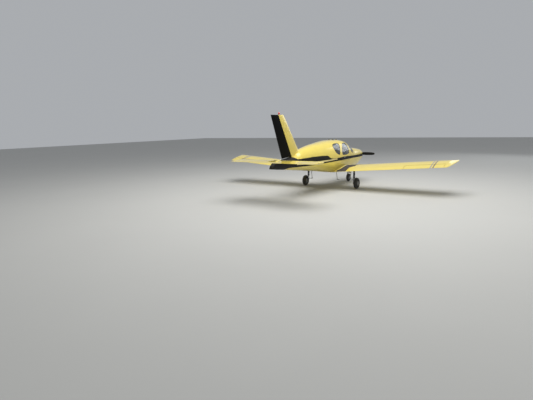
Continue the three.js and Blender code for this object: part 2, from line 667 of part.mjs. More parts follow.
// Interior
const cabinRoom = bodySolid(CABIN_FRONT + 1, CABIN_REAR - 1, CABIN_WALL + FIT);
const floorLine = [
  [CABIN_FRONT + 2, 815], [2390, 815], [2440, 905], [CABIN_REAR - 6, 905],
  [CABIN_REAR - 6, FLOOR_HEIGHT], [2430, FLOOR_HEIGHT], [2380, 831], [CABIN_FRONT + 2, 831],
];
const floor = sidePrism(floorLine, [-FAR, FAR]).intersect(cabinRoom)
  .subtract(bothWings);
const bulkhead = sidePrism([
  [CABIN_REAR - 40, FLOOR_HEIGHT + FIT], [CABIN_REAR - 24, FLOOR_HEIGHT + FIT], [CABIN_REAR - 24, 2200],
  [CABIN_REAR - 40, 2200],
], [-FAR, FAR]).intersect(cabinRoom);
const panel = sidePrism([
  [1780, 1475], [1960, 1475], [2010, 1455], [1985, 1130], [1960, 1130], [1975, 1420], [1780, 1450],
], [-FAR, FAR]).intersect(cabinRoom);

function buildSeat(width, base, back) {
  const outline = [
    [base, FLOOR_HEIGHT + FIT], [base + 330, FLOOR_HEIGHT + FIT], [base + 350, 1030], [base + 440, 1040],
    [back + 150, 1660], [back + 70, 1690], [back + 5, 1660], [base + 330, 1180], [base + 280, 1120],
    [base - 60, 1145], [base - 80, 1080], [base - 20, 1030],
  ];
  return sidePrism(outline, [-width / 2, width / 2]);
}
const frontSeat = buildSeat(460, 2620, 3040).translate([SEAT_X, 0, 0])
  .intersect(bodySolid(CABIN_FRONT + 1, CABIN_REAR - 50, CABIN_WALL + 40));
const rearSeat = buildSeat(1040, 3520, 3930)
  .intersect(bodySolid(CABIN_FRONT + 1, CABIN_REAR - 50, CABIN_WALL + 30));

function buildYoke() {
  const [y, z] = [2120, 1290];
  const column = rod([0, 1980, z], [0, y, z], 11);
  const bar = rod([-120, y, z], [120, y, z], 11);
  const grips = [-1, 1].map((side) => (
    rod([side * 118, y, z - 14], [side * 128, y, z + 90], 13)));
  return join(column, bar, ...grips);
}
const yoke = buildYoke().translate([SEAT_X, 0, 0]).subtract(panel.translate([0, FIT, 0]));

// Tail cone: a thin shell, open where it meets the cabin, with a raked end
const rake = (by) => sidePrism([
  [7255 - by, 1700], [7255 - by, 1402], [7562 - by, 1190], [7700, 1100], [8000, 1700],
], [-400, 400]);
const pivotRadius = holeFor(TORQUE_TUBE_RADIUS, TURNING_SIDES);
const pivotHole = rod(
  [-300, TAIL_PIVOT_STATION, TAIL_PIVOT_HEIGHT], [300, TAIL_PIVOT_STATION, TAIL_PIVOT_HEIGHT],
  pivotRadius, pivotRadius, TURNING_SIDES,
);
const tailCone = cut(
  bodySolid(CABIN_REAR + FIT, TAIL_END, 0).subtract(rake(0)),
  bodySolid(CABIN_REAR - 5, TAIL_END - 100, TAIL_WALL).subtract(rake(20)),
  pivotHole,
);

const finParts = buildFin();
const fin = finParts.fixed.subtract(bodySolid(CABIN_REAR + FIT, TAIL_END, -FIT));

const tail = buildTailplane();
const stabilator = tail.cutTab(tail.halves, [0.2, 0.8]).fixed;
const antiTab = tail.cutTab(join(tail.halves, tail.centre), [0.2, 0.8]).moving;

// Landing gear
const mainWheel = buildWheel(MAIN_TYRE);
const noseWheel = buildWheel(NOSE_TYRE);
const mainHeight = MAIN_TYRE.radius;
const noseHeight = NOSE_TYRE.radius;
const mainLeg = join(
  rod([MAIN_LEG_X, MAIN_STATION - 40, 430], [MAIN_LEG_X, MAIN_STATION - 40, 830], 38),
  rod([MAIN_LEG_X, MAIN_STATION - 40, 290], [MAIN_LEG_X, MAIN_STATION - 40, 440], 26),
  rod([MAIN_LEG_X, MAIN_STATION - 40, 300], [MAIN_LEG_X, MAIN_STATION, mainHeight], 24),
  rod([MAIN_LEG_X - 22, MAIN_STATION, mainHeight],
    [MAIN_TRACK_HALF + mainWheel.hubFace + 10, MAIN_STATION, mainHeight], AXLE_RADIUS),
  rod([MAIN_LEG_X - 24, MAIN_STATION, mainHeight], [MAIN_LEG_X + 26, MAIN_STATION, mainHeight], 28),
  box([MAIN_LEG_X - 14, MAIN_LEG_X + 14], [MAIN_STATION - 10, MAIN_STATION + 55], [430, 452]),
).subtract(wingRoom);

const noseOuter = rod(noseLeg.collar, noseLeg.top, 40, 40, 14)
  .add(rod([-150, FIREWALL, 930], [0, 1095, 880], 15, 15, 10))
  .add(rod([150, FIREWALL, 930], [0, 1095, 880], 15, 15, 10))
  .add(rod(noseLeg.collar, [0, 985, 596], 46, 46, 14));
const legLine = new THREE.Vector3(...noseLeg.top).sub(new THREE.Vector3(...noseLeg.foot));
const legAt = (distance) => new THREE.Vector3(...noseLeg.foot)
  .addScaledVector(legLine.clone().normalize(), distance).toArray();
const pistonHole = holeFor(PISTON_RADIUS, TURNING_SIDES);
const pistonRoom = rod(legAt(150), legAt(legLine.length() - 60), pistonHole, pistonHole,
  TURNING_SIDES);
const noseStrut = noseOuter.subtract(pistonRoom)
  .subtract(box([-200, 200], [FIREWALL, FIREWALL + 200], [600, 1200]));
const armX = NOSE_TYRE.width / 2 + 20 + SWING;
const crown = legAt(0);
const noseFork = join(
  rod(legAt(0), legAt(legLine.length() - 62), PISTON_RADIUS, PISTON_RADIUS, TURNING_SIDES),
  rod([-armX - 14, crown[1], crown[2]], [armX + 14, crown[1], crown[2]], 26, 26, 12),
  ...[-1, 1].map((side) => rod(
    [side * armX, crown[1], crown[2]], [side * armX, NOSE_STATION, noseHeight], 20, 16, 12,
  )),
  rod([-armX - 16, NOSE_STATION, noseHeight], [armX + 16, NOSE_STATION, noseHeight],
    AXLE_RADIUS, AXLE_RADIUS, 16),
);

// Small fixed pieces
const exhaustPipe = cut(
  join(
    rod([160, 960, 1010], [160, 960, ENGINE_BASE - FIT], 24),
    rod([160, 960, 1010], [160, 1100, 1010], 24),
    rod([160, 1100, 1020], [160, 1180, 690], 26),
    rod([160, 1180, 700], [160, 1260, 560], 26),
  ),
  rod([160, 1220, 630], [160, 1280, 525], 20),
);

const stepStrut = join(
  sidePrism([[3568, 746], [3614, 746], [3508, 400], [3466, 400]], [556, 568]),
  box([556, 660], [3440, 3550], [392, 404]),
).subtract(wingRoom).subtract(bodySolid(CABIN_FRONT, CABIN_REAR, -FIT));

const BEACON_STATION = 6938;
const beacon = lathe([
  [0, 0], [34, 0], [34, 26], [30, 56], [18, 74], [0, 80],
], 20, new THREE.Matrix4().makeRotationX(Math.PI / 2))
  .translate([0, BEACON_STATION, FIN_TOP + FIT]);

const tailLight = cut(
  rod([0, 6895, 1430], [0, 6895, 1480], 22, 16, 14), bodySolid(CABIN_REAR, TAIL_END, -FIT),
);
const pitot = join(
  rod([2900, 2840, 960], [2900, 2820, 830], 9, 9, 8),
  rod([2900, 2600, 834], [2900, 2830, 834], 9, 9, 10),
).subtract(wingRoom);

// The scene graph
const aircraft = new THREE.Group();
aircraft.position.y = -LENGTH / 2;

function add(name, solid, look, parent = aircraft) {
  const material = new THREE.MeshStandardMaterial({ ...look, flatShading: true });
  const mesh = new THREE.Mesh(toGeometry(solid), material);
  mesh.name = name;
  parent.add(mesh);
  return mesh;
}

// A port piece and its mirror image
function addPair(name, solid, look, other = look) {
  add(`${name}_left`, solid, look);
  add(`${name}_right`, solid, other).scale.x = -1;
}

add('cowling_upper', cowlingUpper, PAINT);
add('cowling_lower', cowlingLower, PAINT);
add('firewall', firewall, STEEL);
add('engine_block', engine, DARK_STEEL);
add('cabin_tub', cabinTub, PAINT);
add('cabin_roof', cabinRoof, PAINT);
addPair('windscreen', windscreen, GLASS);
addPair('rear_window', rearWindow, GLASS);
addPair('door', door, PAINT);
addPair('door_window', doorWindow, GLASS);
add('cabin_floor', floor, TRIM);
add('rear_bulkhead', bulkhead, TRIM);
add('instrument_panel', panel, TRIM);
addPair('control_yoke', yoke, DARK_STEEL);
addPair('front_seat', frontSeat, SEAT);
add('rear_seat', rearSeat, SEAT);
add('tail_cone', tailCone, PAINT);
add('fin', fin, PAINT);
add('rudder', finParts.moving, BLACK);
add('stabilator', stabilator, PAINT);
add('anti_tab', antiTab, PAINT);
addPair('wing', wing, PAINT);
addPair('wing_tip', tip, PAINT);
addPair('flap', flap, PAINT);
addPair('aileron', aileron, PAINT);
addPair('main_leg', mainLeg, DARK_STEEL);
add('nose_leg', noseStrut, WHITE_PAINT);
add('nose_fork', noseFork, WHITE_PAINT);
add('propeller', buildPropeller(0).subtract(shaftRoom), BLACK);
add('spinner', buildSpinner(), BLACK);
add('exhaust_pipe', exhaustPipe, STEEL);
addPair('step', stepStrut, STEEL);
add('beacon', beacon, LAMP);
add('tail_light', tailLight, WHITE_PAINT);
add('pitot_tube', pitot, STEEL);

for (const [side, x] of [['left', MAIN_TRACK_HALF], ['right', -MAIN_TRACK_HALF]]) {
  const wheelGroup = new THREE.Group();
  wheelGroup.position.set(x, MAIN_STATION, mainHeight);
  aircraft.add(wheelGroup);
  add(`main_tyre_${side}`, mainWheel.tyre, RUBBER, wheelGroup);
  add(`main_wheel_${side}`, mainWheel.wheel, STEEL, wheelGroup);
}
const noseGroup = new THREE.Group();
noseGroup.position.set(0, NOSE_STATION, noseHeight);
aircraft.add(noseGroup);
add('nose_tyre', noseWheel.tyre, RUBBER, noseGroup);
add('nose_wheel', noseWheel.wheel, STEEL, noseGroup);

export default aircraft;
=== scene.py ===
"""The looks of a low-wing light aircraft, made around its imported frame.

Lengths are metres in the frame's axes, +X to port, +Y aft and +Z up. Along the body a place is
given as a station, its distance aft of the spinner's tip.
"""

import logging
import math
from collections.abc import Sequence
from dataclasses import dataclass, field
from enum import Enum
from typing import Any

import bpy
import numpy as np
from mathutils import Matrix
from mathutils.geometry import delaunay_2d_cdt


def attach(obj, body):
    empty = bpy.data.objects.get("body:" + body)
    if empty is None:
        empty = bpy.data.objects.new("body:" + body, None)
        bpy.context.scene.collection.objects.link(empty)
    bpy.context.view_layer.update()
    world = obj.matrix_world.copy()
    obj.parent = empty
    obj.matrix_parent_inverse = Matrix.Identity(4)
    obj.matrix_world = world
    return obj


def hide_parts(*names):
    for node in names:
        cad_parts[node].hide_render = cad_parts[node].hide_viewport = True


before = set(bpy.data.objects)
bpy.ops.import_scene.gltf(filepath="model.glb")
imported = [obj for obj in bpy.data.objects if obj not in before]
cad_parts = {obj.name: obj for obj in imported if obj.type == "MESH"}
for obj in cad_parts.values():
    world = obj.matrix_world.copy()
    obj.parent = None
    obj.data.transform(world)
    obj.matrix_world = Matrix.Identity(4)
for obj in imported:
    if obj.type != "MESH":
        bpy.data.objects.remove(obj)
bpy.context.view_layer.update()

Array = np.ndarray
Point = tuple[float, float, float]
log = logging.getLogger("aircraft")

FIRST_STATION = -3.8      # Y of station 0
SHAFT_HEIGHT = 1.225      # of the crankshaft and the propeller
FAR = 3.0                 # a height past the body's, above or below
HINGE_STATIONS = (2.580, 2.930)  # of the doors' hinge bars
HINGE_LINE = (0.076, 1.981)      # the port door's hinge line, as X and Z
CREASE = math.radians(34)  # faces that meet more sharply than this keep a hard edge
LEVEL = (1.0, 0.0, 0.0)
AFT = (0.0, 1.0, 0.0)
UP = (0.0, 0.0, 1.0)


class Side(Enum):
    """Port or starboard, with the sign that X has there."""

    LEFT = 1
    RIGHT = -1

    @property
    def word(self) -> str:
        """The side's word in names."""
        return self.name.lower()


# ---- Shapes as whole arrays


def at(across: float, station: float, height: float) -> Point:
    """A point given by its station, in the frame's coordinates."""
    return (across, station + FIRST_STATION, height)


@dataclass
class Shape:
    """A mesh: points n x 3, faces m x 4 where a triangle repeats a corner, and point marks."""

    points: Array
    faces: Array
    marks: dict[str, Array] = field(default_factory=dict)

    def moved(self, by: Sequence[float]) -> "Shape":
        """The shape carried by a vector."""
        return Shape(self.points + np.asarray(by), self.faces, self.marks)

    def turned(self, axis: Sequence[float], degrees: float, about: Sequence[float] = (0, 0, 0)) -> "Shape":
        """The shape turned about a line by the right-hand rule."""
        turn = np.array(Matrix.Rotation(math.radians(degrees), 3, axis))
        return Shape((self.points - about) @ turn.T + about, self.faces, self.marks)

    def flipped(self) -> "Shape":
        """The shape with its faces turned round."""
        return Shape(self.points, self.faces[:, ::-1], self.marks)

    def mirrored(self) -> "Shape":
        """The other side's shape: X changes its sign and the faces turn back outward."""
        return Shape(self.points * (-1, 1, 1), self.faces[:, ::-1], self.marks)

    def on(self, side: Side) -> "Shape":
        """The shape, drawn to port, on either side."""
        return self if side is Side.LEFT else self.mirrored()


def joined(*shapes: Shape) -> Shape:
    """Several shapes as one mesh; marks that one of them lacks are 0 there.

    Args:
        shapes: the shapes, in any number.

    Returns:
        One shape with all their points and faces.
    """
    starts = np.cumsum([0] + [len(s.points) for s in shapes[:-1]])
    names = {name for s in shapes for name in s.marks}
    marks = {
        name: np.concatenate([s.marks.get(name, np.zeros(len(s.points))) for s in shapes])
        for name in sorted(names)
    }
    return Shape(
        np.concatenate([s.points for s in shapes]),
        np.concatenate([s.faces + start for s, start in zip(shapes, starts)]),
        marks,
    )


def both(shape: Shape) -> Shape:
    """A port shape and its mirror image as one mesh."""
    return joined(shape, shape.mirrored())


def welded(shape: Shape, within: float = 1e-5) -> Shape:
    """Merges points that lie within a distance and drops faces that this leaves without area.

    Args:
        shape: any shape.
        within: the grid that points are rounded to before they are compared.

    Returns:
        The shape with each place held once.
    """
    _, first, back = np.unique(
        np.round(shape.points / within).astype(np.int64), axis=0, return_index=True, return_inverse=True,
    )
    faces = back.reshape(-1)[shape.faces]
    corners = (faces != np.roll(faces, -1, axis=1)).sum(axis=1)
    apart = (faces[:, 0] != faces[:, 2]) & (faces[:, 1] != faces[:, 3])
    keep = (corners >= 3) & (apart | (corners == 3))
    return Shape(shape.points[first], faces[keep], {n: m[first] for n, m in shape.marks.items()})


def grid_faces(rows: int, columns: int, wrap: bool = False, start: int = 0) -> Array:
    """The faces over a grid of points stored row by row.

    Args:
        rows: number of rows.
        columns: number of points in a row.
        wrap: whether the last column joins the first.
        start: number of the first point.

    Returns:
        m x 4 corner numbers.
    """
    r, c = np.meshgrid(np.arange(rows - 1), np.arange(columns if wrap else columns - 1), indexing="ij")
    after = (c + 1) % columns
    quads = np.stack([r * columns + c, r * columns + after, (r + 1) * columns + after, (r + 1) * columns + c], -1)
    return quads.reshape(-1, 4) + start


def cap_faces(count: int, start: int, flip: bool) -> Array:
    """Faces that close a ring from side to side, point i joined to point count - 1 - i."""
    i = np.arange((count - 1) // 2)
    quads = np.stack([i, i + 1, count - 2 - i, count - 1 - i], -1)
    return (quads[:, ::-1] if flip else quads) + start


def loft(rings: Array, caps: tuple[bool, bool] = (True, True)) -> Shape:
    """A skin over rings of equally many points: the surface is linear from ring to ring.

    Args:
        rings: r x n x 3 points.
        caps: whether the first and the last ring are closed.

    Returns:
        The skin, facing outward where the rings turn left as seen from the last one.
    """
    rows, count, _ = rings.shape
    faces = [grid_faces(rows, count, wrap=True)]
    if caps[0]:
        faces.append(cap_faces(count, 0, flip=True))
    if caps[1]:
        faces.append(cap_faces(count, (rows - 1) * count, flip=False))
    shape = Shape(rings.reshape(-1, 3), np.concatenate(faces))
    return outward(shape) if all(caps) else shape


def volume(shape: Shape) -> float:
    """Six times the volume inside a closed shape, by the sum over its triangles."""
    a, b, c, d = (shape.points[shape.faces[:, i]] for i in range(4))
    one = np.einsum("ij,ij->i", a, np.cross(b, c)).sum()
    return float(one + np.einsum("ij,ij->i", a, np.cross(c, d)).sum())


def outward(shape: Shape) -> Shape:
    """A closed shape with its faces pointing out."""
    return shape if volume(shape) > 0 else shape.flipped()


def frame_of(axis: Sequence[float]) -> Array:
    """Three unit rows at right angles, the last one along an axis."""
    along = np.asarray(axis, float) / np.linalg.norm(axis)
    helper = np.array([0.0, 0.0, 1.0]) if abs(along[2]) < 0.9 else np.array([1.0, 0.0, 0.0])
    across = np.cross(helper, along)
    across /= np.linalg.norm(across)
    return np.array([across, np.cross(along, across), along])


def around(count: int) -> Array:
    """Angles evenly spaced all the way round."""
    return np.linspace(0, 2 * np.pi, count, endpoint=False)


def turned_profile(profile: Sequence[tuple[float, float]], sides: int, origin: Sequence[float] = (0, 0, 0),
                   axis: Sequence[float] = UP) -> Shape:
    """A closed profile of (radius, height) turned about an axis.

    A point is origin + r (cos t across + sin t up) + h axis, for t all the way round.

    Args:
        profile: rows of radius and height, closed on itself or ending on the axis.
        sides: number of steps round.
        origin: the point of height 0.
        axis: direction of the heights.

    Returns:
        The closed solid of revolution.
    """
    rows = np.asarray(profile, float)
    t = around(sides)[:, None]
    across, up, along = frame_of(axis)
    ring = np.cos(t) * across + np.sin(t) * up
    points = np.asarray(origin) + rows[:, None, :1] * ring + rows[:, None, 1:] * along
    shape = welded(Shape(points.reshape(-1, 3), grid_faces(len(rows), sides, wrap=True)))
    return outward(shape)


def rod(start: Sequence[float], end: Sequence[float], radius: float, tip: float | None = None,
        sides: int = 20, round_by: float = 0.0015) -> Shape:
    """A round bar with slightly rounded ends, which may taper.

    Args:
        start: centre of the first end.
        end: centre of the second end.
        radius: radius at the first end.
        tip: radius at the second end, if another.
        sides: number of steps round.
        round_by: how far the ends' edges are rounded.

    Returns:
        The closed bar.
    """
    start, end = np.asarray(start, float), np.asarray(end, float)
    length = float(np.linalg.norm(end - start))
    tip = radius if tip is None else tip
    r = min(round_by, 0.4 * radius, 0.4 * tip, 0.4 * length)
    profile = [(0, 0), (radius - r, 0), (radius, r), (tip, length - r), (tip - r, length), (0, length)]
    return turned_profile(profile, sides, start, end - start)


def hoops(line: Array, radius: float | Array, across: Array, up: Array, sides: int) -> Array:
    """Rings of points about a line: line + radius (cos t across + sin t up), for t all the way round."""
    t = around(sides)[None, :, None]
    size = np.broadcast_to(np.asarray(radius, float), len(line))[:, None, None]
    return line[:, None] + size * (np.cos(t) * across[..., None, :] + np.sin(t) * up[..., None, :])


def pipe(path: Sequence[Point], radius: float | Sequence[float], sides: int = 14) -> Shape:
    """A closed round bar carried along a path, square to the mean direction at each point.

    Args:
        path: points of the centre line.
        radius: one radius, or one for each point.
        sides: number of steps round.

    Returns:
        The bar.
    """
    line = np.asarray(path, float)
    along = np.gradient(line, axis=0)
    along /= np.linalg.norm(along, axis=1)[:, None]
    helper = np.array([0.0, 0.0, 1.0]) if np.abs(along[:, 2]).max() < 0.95 else np.array([1.0, 0.1, 0.0])
    across = np.cross(helper, along)
    across /= np.linalg.norm(across, axis=1)[:, None]
    return loft(hoops(line, radius, across, np.cross(along, across), sides))


def rounded_ring(half: Sequence[float], corner: float, steps: int = 5) -> Array:
    """A rectangle with round corners, n x 2, anticlockwise.

    Args:
        half: half the width and half the height.
        corner: radius of the corners.
        steps: points in each corner.

    Returns:
        The points, beginning at the upper right corner.
    """
    a = np.linspace(0, np.pi / 2, steps)
    quarter = corner * np.stack([np.cos(a), np.sin(a)], 1)
    signs = np.array([[1, 1], [-1, 1], [-1, -1], [1, -1]])
    middles = signs * (np.asarray(half) - corner)
    turns = [quarter, quarter[:, ::-1] * (-1, 1), -quarter, quarter[:, ::-1] * (1, -1)]
    return np.concatenate([m + t for m, t in zip(middles, turns)])


def brick(low: Sequence[float], high: Sequence[float], corner: float = 0.004) -> Shape:
    """A block with every edge rounded: rounded rectangles along Z, drawn in by a quarter circle at each end.

    Args:
        low: lowest corner.
        high: highest corner.
        corner: radius of the edges.

    Returns:
        The closed block.
    """
    low, high = np.asarray(low, float), np.asarray(high, float)
    half = (high - low) / 2
    corner = min(corner, 0.49 * float(half.min()))
    a = np.linspace(0, np.pi / 2, 4)
    inset = np.concatenate([corner * (1 - np.sin(a)), corner * (1 - np.sin(a[::-1]))])
    height = np.concatenate([corner * (1 - np.cos(a)), 2 * half[2] - corner * (1 - np.cos(a[::-1]))])
    base = rounded_ring(half[:2], corner)
    scale = (half[None, :2] - inset[:, None]) / half[:2]
    rings = np.empty((len(inset), len(base), 3))
    rings[..., :2] = base[None] * scale[:, None] + (low + half)[:2]
    rings[..., 2] = low[2] + height[:, None]
    return loft(rings)


def scattered(shape: Shape, places: Array, normals: Array) -> Shape:
    """Copies of a small shape, drawn with its foot at the origin and its top along Z.

    Args:
        shape: the shape to repeat.
        places: k x 3 points for its foot.
        normals: k x 3 unit directions for its top.

    Returns:
        All the copies as one mesh.
    """
    helper = np.where(np.abs(normals[:, 2:]) < 0.9, [[0.0, 0.0, 1.0]], [[1.0, 0.0, 0.0]])
    across = np.cross(helper, normals)
    across /= np.linalg.norm(across, axis=1)[:, None]
    turn = np.stack([across, np.cross(normals, across), normals], 1)
    points = np.einsum("pi,kij->kpj", shape.points, turn) + places[:, None]
    starts = (np.arange(len(places)) * len(shape.points))[:, None, None]
    return Shape(points.reshape(-1, 3), (shape.faces[None] + starts).reshape(-1, 4))


def stood(shape: Shape, place: Sequence[float], normal: Sequence[float]) -> Shape:
    """A small shape, drawn with its foot at the origin, stood on one place."""
    return scattered(shape, np.asarray(place, float)[None], np.asarray(normal, float)[None])


def stud(radius: float, height: float, sides: int = 8) -> Shape:
    """A low domed head for rivets and screws, its foot just under the surface."""
    return turned_profile([(0, -0.3 * height), (radius, -0.3 * height), (0.8 * radius, 0.6 * height), (0, height)],
                          sides)


def band(inner: float, outer: float, height: float) -> list[tuple[float, float]]:
    """The profile of a flat ring, or of a disc where the inner radius is 0."""
    return [(inner, 0), (outer, 0), (outer, height), (inner, height)]


# ---- Flat regions and smooth loops


def smooth_loop(corners: Sequence[tuple[float, float]], rounds: int = 4) -> Array:
    """A closed loop with its corners rounded by cutting each side at its quarters, again and again.

    Args:
        corners: the corners.
        rounds: how often the corners are cut.

    Returns:
        n x 2 points of the smooth loop.
    """
    loop = np.asarray(corners, float)
    for _ in range(rounds):
        after = np.roll(loop, -1, axis=0)
        loop = np.stack([0.75 * loop + 0.25 * after, 0.25 * loop + 0.75 * after], 1).reshape(-1, 2)
    return loop


def filleted(corners: Sequence[tuple[float, float]], radius: float, steps: int = 6) -> Array:
    """A closed polygon with each corner rounded by a parabola.

    Args:
        corners: the corners.
        radius: how far from the corner the rounding begins, at most half a side.
        steps: points in each rounding.

    Returns:
        n x 2 points.
    """
    here = np.asarray(corners, float)
    before, after = np.roll(here, 1, axis=0) - here, np.roll(here, -1, axis=0) - here
    reach = [np.minimum(radius, 0.5 * np.linalg.norm(v, axis=1))[:, None] for v in (before, after)]
    start = here + before / np.linalg.norm(before, axis=1)[:, None] * reach[0]
    end = here + after / np.linalg.norm(after, axis=1)[:, None] * reach[1]
    t = np.linspace(0, 1, steps)[None, :, None]
    curve = (1 - t) ** 2 * start[:, None] + 2 * t * (1 - t) * here[:, None] + t**2 * end[:, None]
    return curve.reshape(-1, 2)


def densified(loop: Array, step: float) -> Array:
    """A closed loop with points added so that no side is longer than step."""
    after = np.roll(loop, -1, axis=0)
    counts = np.maximum(1, np.ceil(np.linalg.norm(after - loop, axis=1) / step)).astype(int)
    return np.concatenate([
        a + (b - a) * (np.arange(n) / n)[:, None] for a, b, n in zip(loop, after, counts)
    ])


def grown(loop: Array, by: float) -> Array:
    """A closed loop moved outward along its normals, or inward where by is negative.

    Args:
        loop: n x 2 points, with no two the same.
        by: distance.

    Returns:
        n x 2 points.
    """
    along = np.roll(loop, -1, axis=0) - np.roll(loop, 1, axis=0)
    normal = np.stack([along[:, 1], -along[:, 0]], 1)
    normal /= np.maximum(np.linalg.norm(normal, axis=1), 1e-9)[:, None]
    x, y = loop.T
    area = (x * np.roll(y, -1) - np.roll(x, -1) * y).sum()
    return loop + normal * by * np.sign(area)


def inside(points: Array, loop: Array) -> Array:
    """Which points lie in a closed loop, by the parity of the sides to their right."""
    (x0, y0), (x1, y1) = loop.T, np.roll(loop, -1, axis=0).T
    x, y = points[:, :1], points[:, 1:]
    spans = (y0 > y) != (y1 > y)
    with np.errstate(divide="ignore", invalid="ignore"):
        crossing = x0 + (y - y0) * (x1 - x0) / (y1 - y0)
    return (spans & (x < crossing)).sum(axis=1) % 2 == 1


def edge_distance(points: Array, loop: Array) -> Array:
    """The distance of each point from the nearest side of a closed loop."""
    side = np.roll(loop, -1, axis=0) - loop
    offset = points[:, None] - loop[None]
    t = np.clip((offset * side).sum(-1) / np.maximum((side**2).sum(-1), 1e-18), 0, 1)
    return np.linalg.norm(offset - t[..., None] * side, axis=-1).min(axis=1)


def patch(outline: Array, holes: Sequence[Array], step: float) -> tuple[Array, Array]:
    """Triangles over a flat region: grid points kept clear of the edges, joined to the edges' own
    points by a constrained Delaunay triangulation.

    Args:
        outline: the region's outer loop.
        holes: loops cut out of it, which may cross the outer loop.
        step: spacing of the points.

    Returns:
        n x 2 points and m x 4 faces, whose last two corners are the same.
    """
    loops = [densified(loop, step) for loop in (outline, *holes)]
    low, high = loops[0].min(0), loops[0].max(0)
    u, v = (np.arange(a + step / 2, b, step) for a, b in zip(low, high))
    grid = np.stack(np.meshgrid(u, v, indexing="ij"), -1).reshape(-1, 2)
    grid[:, 1] += np.where(np.arange(len(grid)) // len(v) % 2, step / 2, 0.0)
    keep = inside(grid, loops[0])
    for loop in loops[1:]:
        keep[keep] = ~inside(grid[keep], loop)
    for loop in loops:
        keep[keep] = edge_distance(grid[keep], loop) > 0.5 * step
    starts = np.cumsum([0] + [len(loop) for loop in loops])
    edges = [(int(s) + i, int(s) + (i + 1) % len(loop)) for s, loop in zip(starts, loops) for i in range(len(loop))]
    found = delaunay_2d_cdt([tuple(map(float, p)) for p in np.concatenate([*loops, grid[keep]])], edges, [], 0, 1e-7)
    points, faces = np.array([tuple(p) for p in found[0]]), np.array(found[2], int)
    middle = points[faces].mean(axis=1)
    used = inside(middle, loops[0])
    for loop in loops[1:]:
        used &= ~inside(middle, loop)
    faces = faces[used]
    a, b, c = (points[faces[:, i]] for i in range(3))
    (ux, uy), (vx, vy) = (b - a).T, (c - a).T
    faces = np.where((ux * vy < uy * vx)[:, None], faces[:, ::-1], faces)
    numbers, back = np.unique(faces, return_inverse=True)
    faces = back.reshape(-1, 3)
    return points[numbers], np.concatenate([faces, faces[:, 2:]], axis=1)


def plate(region: tuple[Array, Array], outer: Array, inner: Array) -> Shape:
    """A closed plate: a region's faces on an outer and an inner surface, and walls round its edges.

    Edges that lie on the plane X = 0 get no wall, so a half plate closes against its mirror image.

    Args:
        region: the flat points and faces from patch().
        outer: place of each flat point on the outer surface.
        inner: its place on the inner surface.

    Returns:
        The plate, facing outward where the region faces out of the outer surface.
    """
    faces, count = region[1], len(region[0])
    sides = np.concatenate([faces[:, [0, 1]], faces[:, [1, 2]], faces[:, [2, 0]]])
    _, back, seen = np.unique(np.sort(sides, axis=1), axis=0, return_inverse=True, return_counts=True)
    rim = sides[seen[back.reshape(-1)] == 1]
    middle = (np.abs(outer[rim, 0]) < 1e-5).all(axis=1)
    rim = rim[~middle]
    walls = np.stack([rim[:, 1], rim[:, 0], rim[:, 0] + count, rim[:, 1] + count], 1)
    return Shape(np.concatenate([outer, inner]), np.concatenate([faces, faces[:, ::-1] + count, walls]))


# ---- Finishes

COAT_ROUGHNESS = 0.06
ACRYLIC_IOR = 1.49


def linear(colour: Sequence[float]) -> tuple[float, ...]:
    """A colour given as sRGB values from 0 to 255, as linear light with full alpha."""
    c = np.asarray(colour, float) / 255
    return (*np.where(c <= 0.04045, c / 12.92, ((c + 0.055) / 1.055) ** 2.4).tolist(), 1.0)


class Graph:
    """A material's nodes round one principled shader."""

    def __init__(self, name: str) -> None:
        """Makes the material with its shader and output."""
        self.material = bpy.data.materials.new(name)
        self.material.use_nodes = True
        self.tree = self.material.node_tree
        self.tree.nodes.clear()
        self.shader = self.node("BsdfPrincipled")
        self.node("OutputMaterial", {"Surface": self.shader.outputs[0]})
        self.place = self.node("TexCoord").outputs["Object"]

    def node(self, kind: str, inputs: dict[Any, Any] | None = None, **settings: Any) -> bpy.types.Node:
        """Adds a shader node.

        Args:
            kind: its type, less the leading words.
            inputs: a value or a socket for each named or numbered input.
            settings: its other properties.

        Returns:
            The node.
        """
        made = self.tree.nodes.new("ShaderNode" + kind)
        for key, value in settings.items():
            setattr(made, key, value)
        for key, value in (inputs or {}).items():
            if isinstance(value, bpy.types.NodeSocket):
                self.tree.links.new(value, made.inputs[key])
            else:
                made.inputs[key].default_value = value
        return made

    def math(self, operation: str, *values: Any) -> bpy.types.NodeSocket:
        """The result of a Math node."""
        return self.node("Math", dict(enumerate(values)), operation=operation).outputs[0]

    def noise(self, scale: float, detail: float = 3.0, stretch: Point = (1.0, 1.0, 1.0)) -> bpy.types.NodeSocket:
        """Noise over the object's own coordinates, from 0 to 1."""
        place = self.node("Mapping", {"Vector": self.place, "Scale": stretch}).outputs[0]
        return self.node("TexNoise", {"Vector": place, "Scale": scale, "Detail": detail}).outputs["Fac"]

    def ranged(self, value: Any, low: float, high: float, to: tuple[float, float]) -> bpy.types.NodeSocket:
        """A value carried from one range to another and held within it."""
        return self.node("MapRange", {0: value, 1: low, 2: high, 3: to[0], 4: to[1]}).outputs[0]

    def mixed(self, share: Any, first: Any, second: Any) -> bpy.types.NodeSocket:
        """Two colours mixed by a share of the second."""
        return self.node("Mix", {0: share, 6: first, 7: second}, data_type="RGBA").outputs[2]

    def mark(self, name: str) -> bpy.types.NodeSocket:
        """A point mark of the mesh, as a number."""
        return self.node("Attribute", attribute_name=name).outputs["Fac"]

    def set(self, **values: Any) -> None:
        """Sets or links the shader's sockets, with underscores for the spaces in their names."""
        for key, value in values.items():
            socket = self.shader.inputs[key.replace("_", " ")]
            if isinstance(value, bpy.types.NodeSocket):
                self.tree.links.new(value, socket)
            else:
                socket.default_value = value

    def bump(self, height: Any, distance: float, strength: float = 1.0) -> None:
        """Gives the surface bumps up to a distance high, in metres."""
        self.set(Normal=self.node("Bump", {"Strength": strength, "Distance": distance, "Height": height}).outputs[0])


